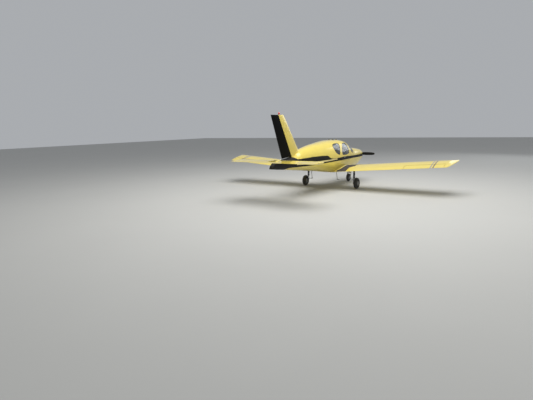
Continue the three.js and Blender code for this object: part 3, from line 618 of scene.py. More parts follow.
@dataclass(frozen=True)
class Finish:
    """A surface: its colour with faint blotches, its gloss with faint wear, and its grain.

    colour is sRGB; mottle is the share by which blotches darken it; wear is how far roughness
    wanders; grain is the height of the bumps in metres and grain_scale their number per metre.
    """

    name: str
    colour: tuple[int, int, int]
    roughness: float = 0.4
    metallic: float = 0.0
    coat: float = 0.0
    gloss: float = 0.5
    mottle: float = 0.08
    mottle_scale: float = 6.0
    wear: float = 0.06
    grain: float = 0.0
    grain_scale: float = 300.0

    def tone(self, graph: Graph) -> Any:
        """The base colour before blotches."""
        return linear(self.colour)

    def dress(self, graph: Graph) -> None:
        """Sets what one kind of finish has beyond the common parts."""

    def worn(self, graph: Graph, low: float, high: float) -> bpy.types.NodeSocket:
        """A roughness that wanders between two values over the surface."""
        return graph.ranged(graph.noise(3.1 * self.mottle_scale, 4.0), 0.3, 0.7, (low, high))

    def build(self) -> bpy.types.Material:
        """The finish's material, made once."""
        known = bpy.data.materials.get(self.name)
        if known:
            return known
        graph = Graph(self.name)
        dark = graph.ranged(graph.noise(self.mottle_scale, 5.0), 0.35, 0.7, (0.0, self.mottle))
        graph.set(
            Base_Color=graph.mixed(dark, self.tone(graph), linear((0, 0, 0))),
            Metallic=self.metallic,
            Coat_Weight=self.coat,
            Coat_Roughness=COAT_ROUGHNESS,
            Specular_IOR_Level=self.gloss,
            Roughness=self.worn(graph, self.roughness - self.wear / 2, self.roughness + self.wear / 2),
        )
        if self.grain:
            graph.bump(graph.noise(self.grain_scale, 2.0), self.grain)
        self.dress(graph)
        return graph.material


@dataclass(frozen=True)
class BandPaint(Finish):
    """Gloss paint with a dark side band and a thin line in it, where the marks say so.

    The marks band and line hold a signed distance in metres, above 0 inside the stripe.
    """

    band: tuple[int, int, int] = (10, 10, 11)
    line: tuple[int, int, int] = (222, 208, 146)

    def tone(self, graph: Graph) -> bpy.types.NodeSocket:
        """The paint's colour, then the band's over it, then the line's over that."""
        in_band = graph.math("GREATER_THAN", graph.mark("band"), 0.0)
        in_line = graph.math("GREATER_THAN", graph.mark("line"), 0.0)
        banded = graph.mixed(in_band, linear(self.colour), linear(self.band))
        return graph.mixed(in_line, banded, linear(self.line))

    def dress(self, graph: Graph) -> None:
        """Takes the clear coat off the dark band, which is the duller of the two paints."""
        dull = graph.math("GREATER_THAN", graph.mark("band"), 0.0)
        rough = self.worn(graph, self.roughness, self.roughness + 0.06)
        graph.set(Coat_Weight=graph.math("SUBTRACT", self.coat, graph.math("MULTIPLY", dull, self.coat)),
                  Roughness=graph.math("ADD", rough, graph.math("MULTIPLY", dull, 0.25)))


@dataclass(frozen=True)
class WingPaint(Finish):
    """Gloss paint with thin stripes across the wing, given as (span, half width, colour)."""

    stripes: tuple[tuple[float, float, tuple[int, int, int]], ...] = ()

    def tone(self, graph: Graph) -> Any:
        """The paint's colour, with a stripe's where |X| is near its middle."""
        across = graph.node("SeparateXYZ", {0: graph.place}).outputs[0]
        span = graph.math("ABSOLUTE", across)
        tone: Any = linear(self.colour)
        for middle, half, colour in self.stripes:
            tone = graph.mixed(graph.math("COMPARE", span, middle, half), tone, linear(colour))
        return tone


@dataclass(frozen=True)
class Glazing(Finish):
    """Clear acrylic sheet, polished and very faintly tinted."""

    clear: float = 0.985

    def dress(self, graph: Graph) -> None:
        """Lets light through and keeps the surface's reflections."""
        graph.set(Transmission_Weight=self.clear, IOR=ACRYLIC_IOR)


@dataclass(frozen=True)
class Lens(Finish):
    """A coloured lamp cover that light passes through and is scattered in."""

    clear: float = 0.45

    def dress(self, graph: Graph) -> None:
        """Lets some light through and adds ribs round the lens."""
        ribs = graph.node("TexWave", {"Vector": graph.place, "Scale": 60.0}, bands_direction="Z").outputs["Fac"]
        graph.bump(ribs, 0.001, 0.5)
        graph.set(Transmission_Weight=self.clear, IOR=ACRYLIC_IOR)


@dataclass(frozen=True)
class Cloth(Finish):
    """Woven upholstery: threads over and under at right angles, with a soft sheen."""

    thread: float = 0.0016

    def dress(self, graph: Graph) -> None:
        """Adds the weave's bump, the sheen, and a painted highlight in the colour: paler where the threads stand
        highest.
        """
        waves = [
            graph.node("TexWave", {"Vector": graph.place, "Scale": 1.0 / self.thread / 12.6, "Distortion": 0.6},
                       bands_direction=way).outputs["Fac"]
            for way in ("X", "Y", "Z")
        ]
        weave = graph.math("MULTIPLY", graph.math("ADD", waves[0], waves[1]), waves[2])
        graph.bump(weave, self.thread / 3, 0.6)
        # Painted highlight: the colour turns paler in step with the threads' height in the weave.
        shade = graph.ranged(weave, 0.0, 1.6, (0.0, 0.35))
        pale = linear(tuple(min(255, c + 40) for c in self.colour))
        graph.set(Base_Color=graph.mixed(shade, linear(self.colour), pale), Sheen_Weight=0.4, Sheen_Roughness=0.5)


@dataclass(frozen=True)
class Brushed(Finish):
    """Metal with fine scratches along one axis."""

    stretch: Point = (1.0, 1.0, 30.0)

    def dress(self, graph: Graph) -> None:
        """Adds the scratches as bump."""
        graph.bump(graph.noise(220.0, 2.0, self.stretch), 0.0004, 0.25)


YELLOW = (224, 203, 90)
TIP_STRIPES = ((4.130, 0.021, (146, 141, 148)), (4.222, 0.023, (112, 98, 92)))
BODY_PAINT = BandPaint("body_gloss_yellow", YELLOW, 0.32, coat=1.0, gloss=0.3, mottle=0.05, mottle_scale=3.0,
                       grain=0.00006, grain_scale=160.0)
TAIL_PAINT = Finish("tail_gloss_yellow", YELLOW, 0.34, coat=1.0, mottle=0.06, mottle_scale=3.0, grain=0.00006,
                    grain_scale=160.0)
WING_PAINT = WingPaint("wing_gloss_yellow", YELLOW, 0.34, coat=1.0, mottle=0.06, mottle_scale=3.0,
                       grain=0.00006, grain_scale=160.0, stripes=TIP_STRIPES)
BLACK_PAINT = Finish("gloss_black", (8, 8, 9), 0.45, gloss=0.06, mottle=0.2, grain=0.00005, grain_scale=160.0)
PROP_PAINT = Finish("satin_black_blade", (20, 20, 21), 0.42, metallic=0.1, mottle=0.25, mottle_scale=14.0,
                    wear=0.2)
DARK_GREY = Finish("gear_dark_grey", (52, 54, 57), 0.45, mottle=0.25, mottle_scale=25.0, wear=0.15, grain=0.0001)
OFF_WHITE = Finish("gear_off_white", (206, 206, 200), 0.42, mottle=0.18, mottle_scale=20.0, wear=0.12)
PALE_GREY = Finish("step_pale_grey", (178, 180, 180), 0.45, mottle=0.2, mottle_scale=20.0, wear=0.15)
CHROME = Finish("polished_piston", (214, 216, 218), 0.12, metallic=1.0, mottle=0.05, wear=0.05)
CAST_ALLOY = Finish("cast_alloy", (168, 170, 172), 0.48, metallic=0.85, mottle=0.15, mottle_scale=30.0, wear=0.2,
                    grain=0.0003, grain_scale=500.0)
BRIGHT_BOLT = Finish("bright_fastener", (176, 178, 180), 0.32, metallic=1.0, mottle=0.1, wear=0.15)
DULL_STEEL = Brushed("dull_steel", (150, 150, 150), 0.4, metallic=1.0, mottle=0.2, wear=0.2)
SOOTY_STEEL = Finish("heat_stained_steel", (112, 98, 86), 0.5, metallic=0.9, mottle=0.45, mottle_scale=18.0,
                     wear=0.3)
ENGINE_METAL = Finish("engine_grey", (70, 71, 73), 0.6, metallic=0.6, mottle=0.3, mottle_scale=20.0, wear=0.2,
                      grain=0.0006, grain_scale=400.0)
TYRE_RUBBER = Finish("tyre_rubber", (26, 26, 27), 0.82, mottle=0.2, mottle_scale=22.0, wear=0.14, grain=0.0004,
                     grain_scale=600.0)
SEAL_RUBBER = Finish("seal_rubber", (22, 22, 23), 0.7, mottle=0.1, wear=0.1, grain=0.0001)
GLASS = Glazing("cabin_acrylic", (232, 236, 238), 0.0, mottle=0.02, wear=0.0)
TRIM = Finish("grained_trim", (96, 91, 84), 0.72, gloss=0.3, mottle=0.12, grain=0.0005, grain_scale=700.0)
PALE_TRIM = Finish("pale_lining", (206, 200, 186), 0.8, mottle=0.1, grain=0.0005, grain_scale=600.0)
PANEL_BLACK = Finish("crackle_black", (28, 28, 30), 0.66, mottle=0.1, grain=0.0004, grain_scale=900.0)
DIAL_WHITE = Finish("dial_marks", (226, 226, 220), 0.5, mottle=0.04, wear=0.04)
SEAT_CLOTH = Cloth("woven_seat", (150, 132, 108), 0.9, mottle=0.1)
PIPING = Finish("seat_piping", (58, 48, 40), 0.7, mottle=0.1, grain=0.0003)
CARPET = Finish("carpet", (92, 84, 74), 0.95, mottle=0.25, mottle_scale=60.0, grain=0.002, grain_scale=500.0)
WALKWAY = Finish("walkway_grit", (66, 60, 56), 0.92, mottle=0.3, mottle_scale=40.0, wear=0.1, grain=0.0008,
                 grain_scale=900.0)
RED_LENS = Lens("red_lens", (112, 10, 12), 0.16, mottle=0.05)
GREEN_LENS = Lens("green_lens", (16, 120, 60), 0.12, mottle=0.05)
WHITE_LENS = Lens("white_lens", (236, 236, 230), 0.15, mottle=0.02)


def linked(name: str, data: bpy.types.ID) -> bpy.types.Object:
    """A new object in the scene that holds a mesh, a light or a camera."""
    made = bpy.data.objects.new(name, data)
    bpy.context.scene.collection.objects.link(made)
    return made


def ridden(name: str, mesh: bpy.types.Mesh, replaces: Sequence[str], body: str) -> bpy.types.Object:
    """A mesh put into the scene as a piece that moves with a body of the frame."""
    piece = linked(name, mesh)
    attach(piece, body)
    if replaces:
        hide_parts(*replaces)
    return piece


def shown(name: str, shape: Shape, finish: Finish, replaces: Sequence[str] = (),
          body: str = "airframe") -> None:
    """Makes a piece of the aircraft from a shape.

    Args:
        name: the piece's name.
        shape: its mesh, in place.
        finish: its surface.
        replaces: the frame's nodes that it stands for.
        body: the frame's body that it moves with.
    """
    shape = welded(shape)
    mesh = bpy.data.meshes.new(name)
    new = shape.faces != np.roll(shape.faces, -1, axis=1)
    corners, counts = shape.faces[new], new.sum(axis=1)
    mesh.vertices.add(len(shape.points))
    mesh.vertices.foreach_set("co", shape.points.astype(np.float32).ravel())
    mesh.loops.add(len(corners))
    mesh.loops.foreach_set("vertex_index", corners.astype(np.int32))
    mesh.polygons.add(len(counts))
    mesh.polygons.foreach_set("loop_start", (np.cumsum(counts) - counts).astype(np.int32))
    for mark, values in shape.marks.items():
        mesh.attributes.new(mark, "FLOAT", "POINT").data.foreach_set("value", values.astype(np.float32))
    mesh.update(calc_edges=True)
    mesh.polygons.foreach_set("use_smooth", np.ones(len(counts), bool))
    mesh.set_sharp_from_angle(angle=CREASE)
    mesh.materials.append(finish.build())
    ridden(name, mesh, replaces, body)
    log.info("%s: %d faces on %s", name, len(counts), body)


def repainted(finish: Finish, *nodes: str) -> None:
    """Gives nodes of the frame a finish and leaves their shape alone."""
    for name in nodes:
        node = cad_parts[name]
        node.data.materials.clear()
        node.data.materials.append(finish.build())


# ---- The body's outer form


def metres(*rows: Sequence[float]) -> Array:
    """Rows of millimetres as metres."""
    return np.asarray(rows, float) / 1000


def monotone(xs: Array, ys: Array, at: Array) -> Array:
    """A smooth curve through rows that never overshoots them.

    It is cubic between rows, and its slope at a row is the weighted harmonic mean of the slopes on
    either side, or 0 where they differ in sign.

    Args:
        xs: the rows' places, rising.
        ys: their values.
        at: where the curve is read.

    Returns:
        The values there.
    """
    gap = np.diff(xs)
    slope = np.diff(ys) / gap
    w0, w1 = 2 * gap[1:] + gap[:-1], gap[1:] + 2 * gap[:-1]
    with np.errstate(divide="ignore", invalid="ignore"):
        mean = (w0 + w1) / (w0 / slope[:-1] + w1 / slope[1:])
    inner = np.where(slope[:-1] * slope[1:] > 0, mean, 0.0)
    tangent = np.concatenate([slope[:1], inner, slope[-1:]])
    at = np.clip(at, xs[0], xs[-1])
    k = np.clip(np.searchsorted(xs, at) - 1, 0, len(xs) - 2)
    t = (at - xs[k]) / gap[k]
    start = (1 + 2 * t) * (1 - t) ** 2 * ys[k] + t * (1 - t) ** 2 * gap[k] * tangent[k]
    return start + t * t * (3 - 2 * t) * ys[k + 1] + t * t * (t - 1) * gap[k] * tangent[k + 1]


def smoothed(path: Array, count: int) -> tuple[Array, Array]:
    """A smooth curve through points, read at even steps of their distance along the path.

    Args:
        path: n x 3 points.
        count: how many points to give back.

    Returns:
        count x 3 points, and each one's distance along the path.
    """
    knots = np.concatenate([[0], np.cumsum(np.linalg.norm(np.diff(path, axis=0), axis=1))])
    s = np.linspace(0, knots[-1], count)
    return np.stack([monotone(knots, path[:, k], s) for k in range(3)], 1), s


def open_tube(line: Array, radius: Array, bore: float, depth: int, sides: int) -> Shape:
    """A tube in a plane of constant X, whose last end is open: its wall turns back inside.

    Args:
        line: n x 3 points of the centre line.
        radius: outer radius at each.
        bore: radius of the open end's inside.
        depth: how many points the inside reaches back.
        sides: number of steps round.

    Returns:
        The closed wall.
    """
    across, along = np.array(LEVEL), np.gradient(line, axis=0)
    up = np.cross(along / np.linalg.norm(along, axis=1)[:, None], across)
    line, up = (np.concatenate([rows, rows[::-1][:depth]]) for rows in (line, up))
    return loft(hoops(line, np.concatenate([radius, np.full(depth, bore)]), across, up, sides))


@dataclass(frozen=True)
class Hull:
    """The body: at each station two half superellipses, below and above the height mid.

    At an angle from port, a point lies at the radius ((|cos| / half)^p + (|sin| / rise)^p)^(-1/p)
    from the middle, where rise is the height above or below mid and p the power there. Rows hold
    station, half width, mid, keel, lower power, top and upper power.
    """

    rows: tuple[tuple[float, ...], ...] = (
        (0.330, 0.385, 1.225, 1.030, 2.4, 1.405, 2.4), (0.400, 0.430, 1.210, 0.955, 2.6, 1.440, 2.7),
        (0.600, 0.480, 1.190, 0.870, 2.8, 1.480, 2.9), (1.000, 0.540, 1.160, 0.760, 2.9, 1.530, 3.0),
        (1.330, 0.580, 1.140, 0.680, 3.0, 1.560, 3.0), (1.700, 0.615, 1.120, 0.632, 3.0, 1.588, 2.9),
        (2.100, 0.645, 1.110, 0.610, 3.0, 1.815, 2.7), (2.450, 0.660, 1.105, 0.605, 3.0, 1.930, 2.7),
        (2.800, 0.668, 1.105, 0.612, 3.0, 1.958, 2.7), (3.200, 0.665, 1.110, 0.640, 3.0, 1.960, 2.6),
        (3.700, 0.635, 1.130, 0.700, 2.9, 1.938, 2.5), (4.200, 0.580, 1.160, 0.775, 2.8, 1.895, 2.4),
        (4.700, 0.505, 1.195, 0.845, 2.6, 1.850, 2.3), (5.200, 0.420, 1.225, 0.910, 2.5, 1.785, 2.2),
        (5.700, 0.335, 1.250, 0.970, 2.4, 1.690, 2.2), (6.200, 0.250, 1.275, 1.030, 2.3, 1.500, 2.2),
        (6.700, 0.175, 1.290, 1.090, 2.3, 1.452, 2.2), (7.150, 0.110, 1.300, 1.140, 2.3, 1.440, 2.2),
        (7.560, 0.055, 1.300, 1.190, 2.3, 1.400, 2.2),
    )
    spread: float = 0.6  # flat regions use angle x spread, near the arc's length

    def read(self, station: Array) -> list[Array]:
        """The table's six columns at some stations."""
        table = np.array(self.rows)
        return [monotone(table[:, 0], table[:, k], np.asarray(station, float)) for k in range(1, 7)]

    def point(self, station: Array, angle: Array, inset: float | Array = 0.0) -> Array:
        """Points of the surface, or of one that lies further in.

        Args:
            station: stations.
            angle: angles from port, in radians.
            inset: how far the widths and heights are drawn in.

        Returns:
            The points, in one more dimension of three.
        """
        station, angle = np.broadcast_arrays(np.asarray(station, float), np.asarray(angle, float))
        half, middle, keel, low, top, high = self.read(station)
        upper = np.sin(angle) >= 0
        power = np.where(upper, high, low)
        rise = np.where(upper, top - middle, middle - keel) - inset
        across = (np.abs(np.cos(angle)) / (half - inset)) ** power
        radius = (across + (np.abs(np.sin(angle)) / rise) ** power) ** (-1 / power)
        return np.stack([radius * np.cos(angle), station + FIRST_STATION, middle + radius * np.sin(angle)], -1)

    def angle_at(self, station: Array, height: Array, least: float = 0.0) -> Array:
        """The port angle at a height, on the crown or the keel where the height is past them.

        Args:
            station: stations.
            height: heights.
            least: smallest distance from the plane of symmetry.

        Returns:
            Angles in radians.
        """
        half, middle, keel, low, top, high = self.read(station)
        upper = height >= middle
        power = np.where(upper, high, low)
        rise = np.where(upper, top - middle, middle - keel)
        share = np.clip(np.abs(height - middle) / rise, 0, 1)
        across = np.maximum(half * (1 - share**power) ** (1 / power), least)
        up = rise * (1 - (across / half) ** power) ** (1 / power)
        return np.arctan2(np.where(upper, up, -up), across)

    def region(self, outline: Array, least: float = 0.0, step: float = 0.02) -> Array:
        """A loop of the side view as one of (station, angle x spread), its corners kept.

        Args:
            outline: n x 2 stations and heights.
            least: smallest distance from the plane of symmetry.
            step: spacing of the points.

        Returns:
            The loop over the surface.
        """
        parts = []
        for a, b in zip(outline, np.roll(outline, -1, axis=0)):
            line = a + (b - a) * np.linspace(0, 1, 80)[:, None]
            flat = np.stack([line[:, 0], self.spread * self.angle_at(line[:, 0], line[:, 1], least)], 1)
            length = np.concatenate([[0], np.cumsum(np.linalg.norm(np.diff(flat, axis=0), axis=1))])
            at = np.linspace(0, length[-1], max(1, math.ceil(length[-1] / step)) + 1)[:-1]
            parts.append(np.stack([np.interp(at, length, flat[:, k]) for k in (0, 1)], 1))
        loop = np.concatenate(parts)
        return loop[np.linalg.norm(loop - np.roll(loop, 1, axis=0), axis=1) > 1e-4]

    def plate(self, outline: Array, holes: Sequence[Array], outer: float, inner: float,
              step: float = 0.026) -> Shape:
        """A closed plate over a region of the surface, with the paint's marks.

        Args:
            outline: loop of (station, angle x spread).
            holes: loops cut out of it.
            outer: inset of its outer face.
            inner: inset of its inner face.
            step: spacing of the points.

        Returns:
            The plate.
        """
        region = patch(outline, holes, step)
        station, angle = region[0][:, 0], region[0][:, 1] / self.spread
        return banded(plate(region, self.point(station, angle, outer), self.point(station, angle, inner)))

    def glazing(self, loop: Array) -> tuple[Shape, Shape]:
        """The pane in a window's loop, and the rubber seal round it."""
        return (self.plate(grown(loop, -0.0005), [], 0.003, 0.008),
                self.plate(grown(loop, 0.004), [grown(loop, -0.007)], -0.0015, 0.002, 0.02))

    def facing(self, station: Array, angle: Array) -> Array:
        """Unit directions out of the surface, from differences along it and round it."""
        e = 1e-4
        along = self.point(station + e, angle) - self.point(station - e, angle)
        across = self.point(station, angle + e) - self.point(station, angle - e)
        out = np.cross(along, across)
        out *= np.sign((out * (self.point(station, angle, -0.01) - self.point(station, angle))).sum(-1))[..., None]
        return out / np.linalg.norm(out, axis=-1)[..., None]

    def heads(self, station: Array, angle: Array, radius: float = 0.0045, height: float = 0.0009,
              sides: int = 8) -> Shape:
        """Domed fastener heads on the surface, with the paint's marks.

        Args:
            station: n stations.
            angle: n angles from port.
            radius: radius of a head.
            height: how far it stands out.
            sides: sides of its outline.

        Returns:
            All the heads.
        """
        station, angle = np.broadcast_arrays(np.asarray(station, float), np.asarray(angle, float))
        return banded(scattered(stud(radius, height, sides), self.point(station, angle), self.facing(station, angle)))


@dataclass(frozen=True)
class SideBand:
    """The dark band along the body: its upper and lower edge and the pale line in it, as
    (station, height)."""

    upper: Array = field(default_factory=lambda: metres(
        (330, 1262), (675, 1250), (2114, 1274), (3077, 1301), (3476, 1283), (3959, 1281), (4145, 1310),
        (4282, 1394), (4363, 1424), (4701, 1436), (5235, 1436), (5748, 1421), (6100, 1412), (6230, 1500),
        (6400, 1700), (6930, 1700), (6960, 1392), (7600, 1392)))
    lower: Array = field(default_factory=lambda: metres(
        (330, 1130), (667, 1137), (2119, 1172), (3083, 1168), (3831, 1161), (4506, 1150), (5253, 1132),
        (5758, 1133), (6200, 1140), (6550, 1150), (6700, 1135), (6850, 1060), (7600, 900)))
    line_start: float = 3.66
    line: Array = field(default_factory=lambda: metres(
        (3660, 1246), (3900, 1242), (4151, 1234), (4564, 1229), (5600, 1226), (6300, 1250)))

    def marks(self, points: Array) -> dict[str, Array]:
        """The signed distance of points inside the band and inside the line.

        Args:
            points: n x 3 places.

        Returns:
            The marks band and line, above 0 inside.
        """
        station, height = points[:, 1] - FIRST_STATION, points[:, 2]
        above, below = (np.interp(station, *edge.T) for edge in (self.upper, self.lower))
        half = 0.022 + 0.004 * np.clip(station - self.line_start, 0, 1.5)
        line = half - np.abs(height - np.interp(station, *self.line.T))
        ends = np.minimum(station - self.line_start, 6.2 - station)
        return {"band": np.minimum(above - height, height - below), "line": np.minimum(line, ends)}


def banded(shape: Shape) -> Shape:
    """The shape with the side band's marks."""
    return Shape(shape.points, shape.faces, shape.marks | SIDE_BAND.marks(shape.points))


SIDE_BAND = SideBand()
HULL = Hull()


@dataclass(frozen=True)
class Openings:
    """The doors' and windows' outlines in the side view, as (station, height)."""

    windscreen: Array = field(default_factory=lambda: metres(
        (1500, 2200), (1690, 1620), (1712, 1586), (1830, 1540), (1990, 1450), (2072, 1388), (2092, 1384),
        (2120, 1394), (2290, 1515), (2360, 1650), (2400, 1850), (2412, 1925), (2412, 2200)))
    door: Array = field(default_factory=lambda: filleted(metres(
        (2372, 1142), (3338, 1142), (3330, 1360), (3225, 1640), (3100, 1790), (3040, 1900), (3030, 2100),
        (2480, 2100), (2470, 1900), (2446, 1720), (2400, 1480)), 0.06))
    door_window: Array = field(default_factory=lambda: smooth_loop(metres(
        (2532, 1372), (3150, 1362), (3196, 1400), (3200, 1450), (3130, 1620), (3010, 1745), (2880, 1805),
        (2700, 1832), (2560, 1826), (2512, 1790), (2496, 1700), (2500, 1560))))
    rear_window: Array = field(default_factory=lambda: smooth_loop(metres(
        (3418, 1392), (3560, 1414), (3690, 1484), (3768, 1590), (3788, 1700), (3740, 1784), (3640, 1818),
        (3420, 1842), (3230, 1838), (3196, 1800), (3250, 1700), (3340, 1570))))


OPENINGS = Openings()


@dataclass
class Fuselage:
    """The fixed body: cowlings, cabin shell, glass, tail cone and their seams."""

    bowl_end: float = 0.452
    bowl_depth: float = 0.052
    cowl_split: float = 1.185
    cowl_wall: float = 0.006
    firewall: float = 1.3373
    panel: float = 1.712
    cabin_end: float = 4.3002
    tail_end: float = 7.558
    cabin_wall: float = 0.026
    tail_wall: float = 0.006
    waist: float = 1.330
    seam: float = 0.0009
    door_gap: float = 0.006
    door_least: float = 0.076
    screen_least: float = 0.020

    def between(self, start: float, end: float, low: float, high: float) -> Array:
        """The port half of the surface between two stations and two heights, less the seams."""
        s = self.seam
        return HULL.region(np.array([(start + s, low), (end - s, low), (end - s, high), (start + s, high)]))

    def nose_bowl(self) -> None:
        """The bowl round the spinner: rings drawn in by a quarter circle, and a face with its inlets."""
        a = np.linspace(0, np.pi / 2, 14)
        front = HULL.rows[0][0]
        station = self.bowl_end - (self.bowl_end - front) * np.sin(a)
        inset = self.bowl_depth * (1 - np.cos(a))
        angle = around(128)
        outer = HULL.point(station[:, None], angle[None], inset[:, None])
        inner = HULL.point(np.maximum(station, front + 0.008)[::-1, None], angle[None], inset[::-1, None] + 0.008)
        skin = Shape(outer.reshape(-1, 3), grid_faces(len(a), len(angle), wrap=True)).flipped()
        lining = Shape(inner.reshape(-1, 3), grid_faces(len(a), len(angle), wrap=True)).flipped()
        lip = loft(np.stack([inner[-1], outer[0]]), (False, False)).flipped()
        edge = outer[-1][:, [0, 2]]
        inlet = rounded_ring((0.074, 0.052), 0.045, 8)
        holes = [inlet + (side * 0.243, 1.222) for side in (1, -1)]
        t = around(72)
        holes.append(np.stack([0.118 * np.cos(t), SHAFT_HEIGHT + 0.118 * np.sin(t)], 1))
        flat, faces = patch(edge, holes, 0.02)
        face = plate((flat, faces[:, ::-1]), *(
            np.insert(flat, 1, FIRST_STATION + y, axis=1) for y in (front, front + 0.008)))
        ducts = []
        for hole in holes[:2]:
            middle = hole.mean(0)
            rows = [(0.001, 0.0), (-0.004, 0.006), (0.002, 0.012), (0.075, 0.018), (0.075, 0.014), (0.006, 0.002)]
            ring = [np.insert(middle + (hole - middle) * (1 - draw / 0.06), 1, FIRST_STATION + front + y, axis=1)
                    for y, draw in rows]
            ducts.append(outward(loft(np.array(ring + ring[:1]), (False, False))))
        shown("nose_bowl", banded(joined(skin, lining, lip, face, *ducts)), BODY_PAINT)

    def cowlings(self) -> None:
        """The upper and lower cowling, split at one height."""
        s = self.seam
        port = np.array([(0.93, -math.pi), (1.12, -math.pi), (1.12, -1.43), (0.93, -1.43)]) * (1, HULL.spread)
        for name, low, high, holes in (("upper", self.cowl_split + s, FAR, []),
                                       ("lower", -FAR, self.cowl_split - s, [filleted(port, 0.02)])):
            half = HULL.plate(self.between(self.bowl_end, self.firewall, low, high), holes, 0.0, self.cowl_wall)
            shown(f"cowling_{name}_skin", both(half), BODY_PAINT, [f"cowling_{name}"])

    def cabin(self) -> None:
        """The tub below the waist, with the deck ahead of the windscreen, and the roof above it."""
        start, end, panel = self.firewall + self.seam, self.cabin_end - self.seam, self.panel - self.seam
        door = HULL.region(grown(OPENINGS.door, self.door_gap), self.door_least)
        screen = HULL.region(OPENINGS.windscreen, self.screen_least)
        window = HULL.region(OPENINGS.rear_window)
        waist = self.waist - self.seam
        below = HULL.region(np.array([
            (start, -FAR), (end, -FAR), (end, waist), (panel, waist), (panel, FAR), (start, FAR)]))
        above = self.between(self.panel, self.cabin_end, self.waist + self.seam, FAR)
        for name, loop, holes, slot in (("tub", below, [door, screen], "body_paint"),
                                        ("roof", above, [door, screen, window], "composite_paint")):
            half = HULL.plate(loop, holes, 0.0, self.cabin_wall - 0.004)
            shown(f"cabin_{name}_skin", both(half), BODY_PAINT, [f"cabin_{name}"])
            lining = HULL.plate(loop, holes, self.cabin_wall - 0.0035, self.cabin_wall, 0.05)
            shown(f"cabin_{name}_lining", both(lining), TRIM if name == "tub" else PALE_TRIM)

    def glass(self) -> None:
        """The windscreen halves and rear windows, each in a rubber seal."""
        sheets = [(name, *HULL.glazing(HULL.region(outline, least))) for name, outline, least in (
            ("windscreen", OPENINGS.windscreen, self.screen_least), ("rear_window", OPENINGS.rear_window, 0.0))]
        for side in Side:
            for name, pane, seal in sheets:
                shown(f"{name}_pane_{side.word}", pane.on(side), GLASS, [f"{name}_{side.word}"])
                shown(f"{name}_seal_{side.word}", seal.on(side), SEAL_RUBBER)

    def tail(self) -> None:
        """The tail cone, with its end cut off at a rake and closed by a plate."""
        start = self.cabin_end + self.seam
        rake = metres((7255, 3000), (7255, 1402), (7556, 1194.7))
        outline = np.concatenate([[(start, -FAR), (self.tail_end, -FAR), (self.tail_end, 1.19)], rake[::-1],
                                  [(start, FAR)]])
        half = HULL.plate(HULL.region(outline), [], 0.0, self.tail_wall)
        edge = np.concatenate([a + (b - a) * np.linspace(0, 1, 24)[:, None] for a, b in
                               ((metres((7255, 1446))[0], rake[1]), (rake[1], rake[2]))])
        port = HULL.point(edge[:, 0], HULL.angle_at(edge[:, 0], edge[:, 1]), 0.001)
        share = np.linspace(1, -1, 9)[None, :, None]
        cover = port[:, None] * np.concatenate([share, share * 0 + 1, share * 0 + 1], -1)
        inward = np.array([0.0, -0.003, -0.003])
        sheet = [Shape((cover + k * inward).reshape(-1, 3), grid_faces(len(edge), 9)) for k in (0, 1)]
        closed = outward(joined(sheet[0], sheet[1].flipped()))
        shown("tail_cone_skin", banded(joined(both(half), closed)), BODY_PAINT, ["tail_cone"])

    def fasteners(self) -> None:
        """Screws along the cowling's split and joints, and rivets on the tail cone's frames and stringers."""
        along = np.arange(0.50, 1.30, 0.078)
        split = [HULL.heads(along, HULL.angle_at(along, np.full(len(along), self.cowl_split + dz)), 0.0062, 0.0011, 12)
                 for dz in (-0.020, 0.020)]
        round_nose = np.linspace(-1.5, 1.5, 22)
        joints = [HULL.heads(s, round_nose, 0.0058, 0.0011, 12) for s in (0.472, 1.318)]
        shown("cowling_screws", both(joined(*split, *joints)), BODY_PAINT)
        frames = [HULL.heads(s, np.linspace(-1.53, 1.53 if s < 5.6 else 1.05, n), 0.0034, 0.0008)
                  for s, n in ((1.357, 44), (4.281, 40), (4.322, 40), (4.90, 34), (5.50, 28), (6.10, 22), (6.70, 16),
                               (7.19, 12))]
        along = np.arange(4.36, 7.2, 0.046)
        stringers = [HULL.heads(along, a, 0.0030, 0.0007) for a in (-1.1, -0.62, -0.12, 0.42, 0.92)]
        tub = np.arange(1.40, 4.27, 0.058)
        keel = [HULL.heads(tub, a, 0.0030, 0.0007) for a in (-1.22, -0.98)]
        shown("tail_cone_rivets", both(joined(*frames, *stringers, *keel)), BODY_PAINT)

    def panels(self) -> None:
        """Two oval inspection covers under the tail cone and the oil door on the cowling, each with its screws."""
        covers, screws = [], []
        for middle, angle, half in ((4.62, -0.86, (0.085, 0.062)), (5.86, -0.80, (0.075, 0.050)),
                                    (0.86, 1.02, (0.085, 0.060))):
            loop = rounded_ring(half, min(half) * 0.55, 6) + (middle, angle * HULL.spread)
            covers.append(HULL.plate(loop, [], -0.0012, 0.0006, 0.018))
            rim = rounded_ring((half[0] - 0.012, half[1] - 0.012), min(half) * 0.4, 1) + (middle, angle * HULL.spread)
            screws.append(HULL.heads(rim[:, 0], rim[:, 1] / HULL.spread, 0.0036, 0.0022, 10))
        shown("inspection_covers", joined(*covers), BODY_PAINT)
        shown("inspection_cover_screws", joined(*screws), BRIGHT_BOLT)

    def roof_hinges(self) -> None:
        """The hinge bars of the doors on the roof, each held by a post in its middle."""
        bars = []
        x, z = HINGE_LINE
        for station in HINGE_STATIONS:
            bars.append(rod(at(x, station - 0.034, z), at(x, station + 0.034, z), 0.005, sides=18))
            bars.append(brick(at(0.0525, station - 0.0095, 1.926), at(0.0815, station + 0.0095, 1.9855), 0.004))
        shown("door_hinge_bars", both(joined(*bars)), DULL_STEEL)

    def build(self) -> None:
        """Makes every fixed body piece."""
        self.nose_bowl()
        self.cowlings()
        self.cabin()
        self.glass()
        self.tail()
        self.fasteners()
        self.panels()
        self.roof_hinges()


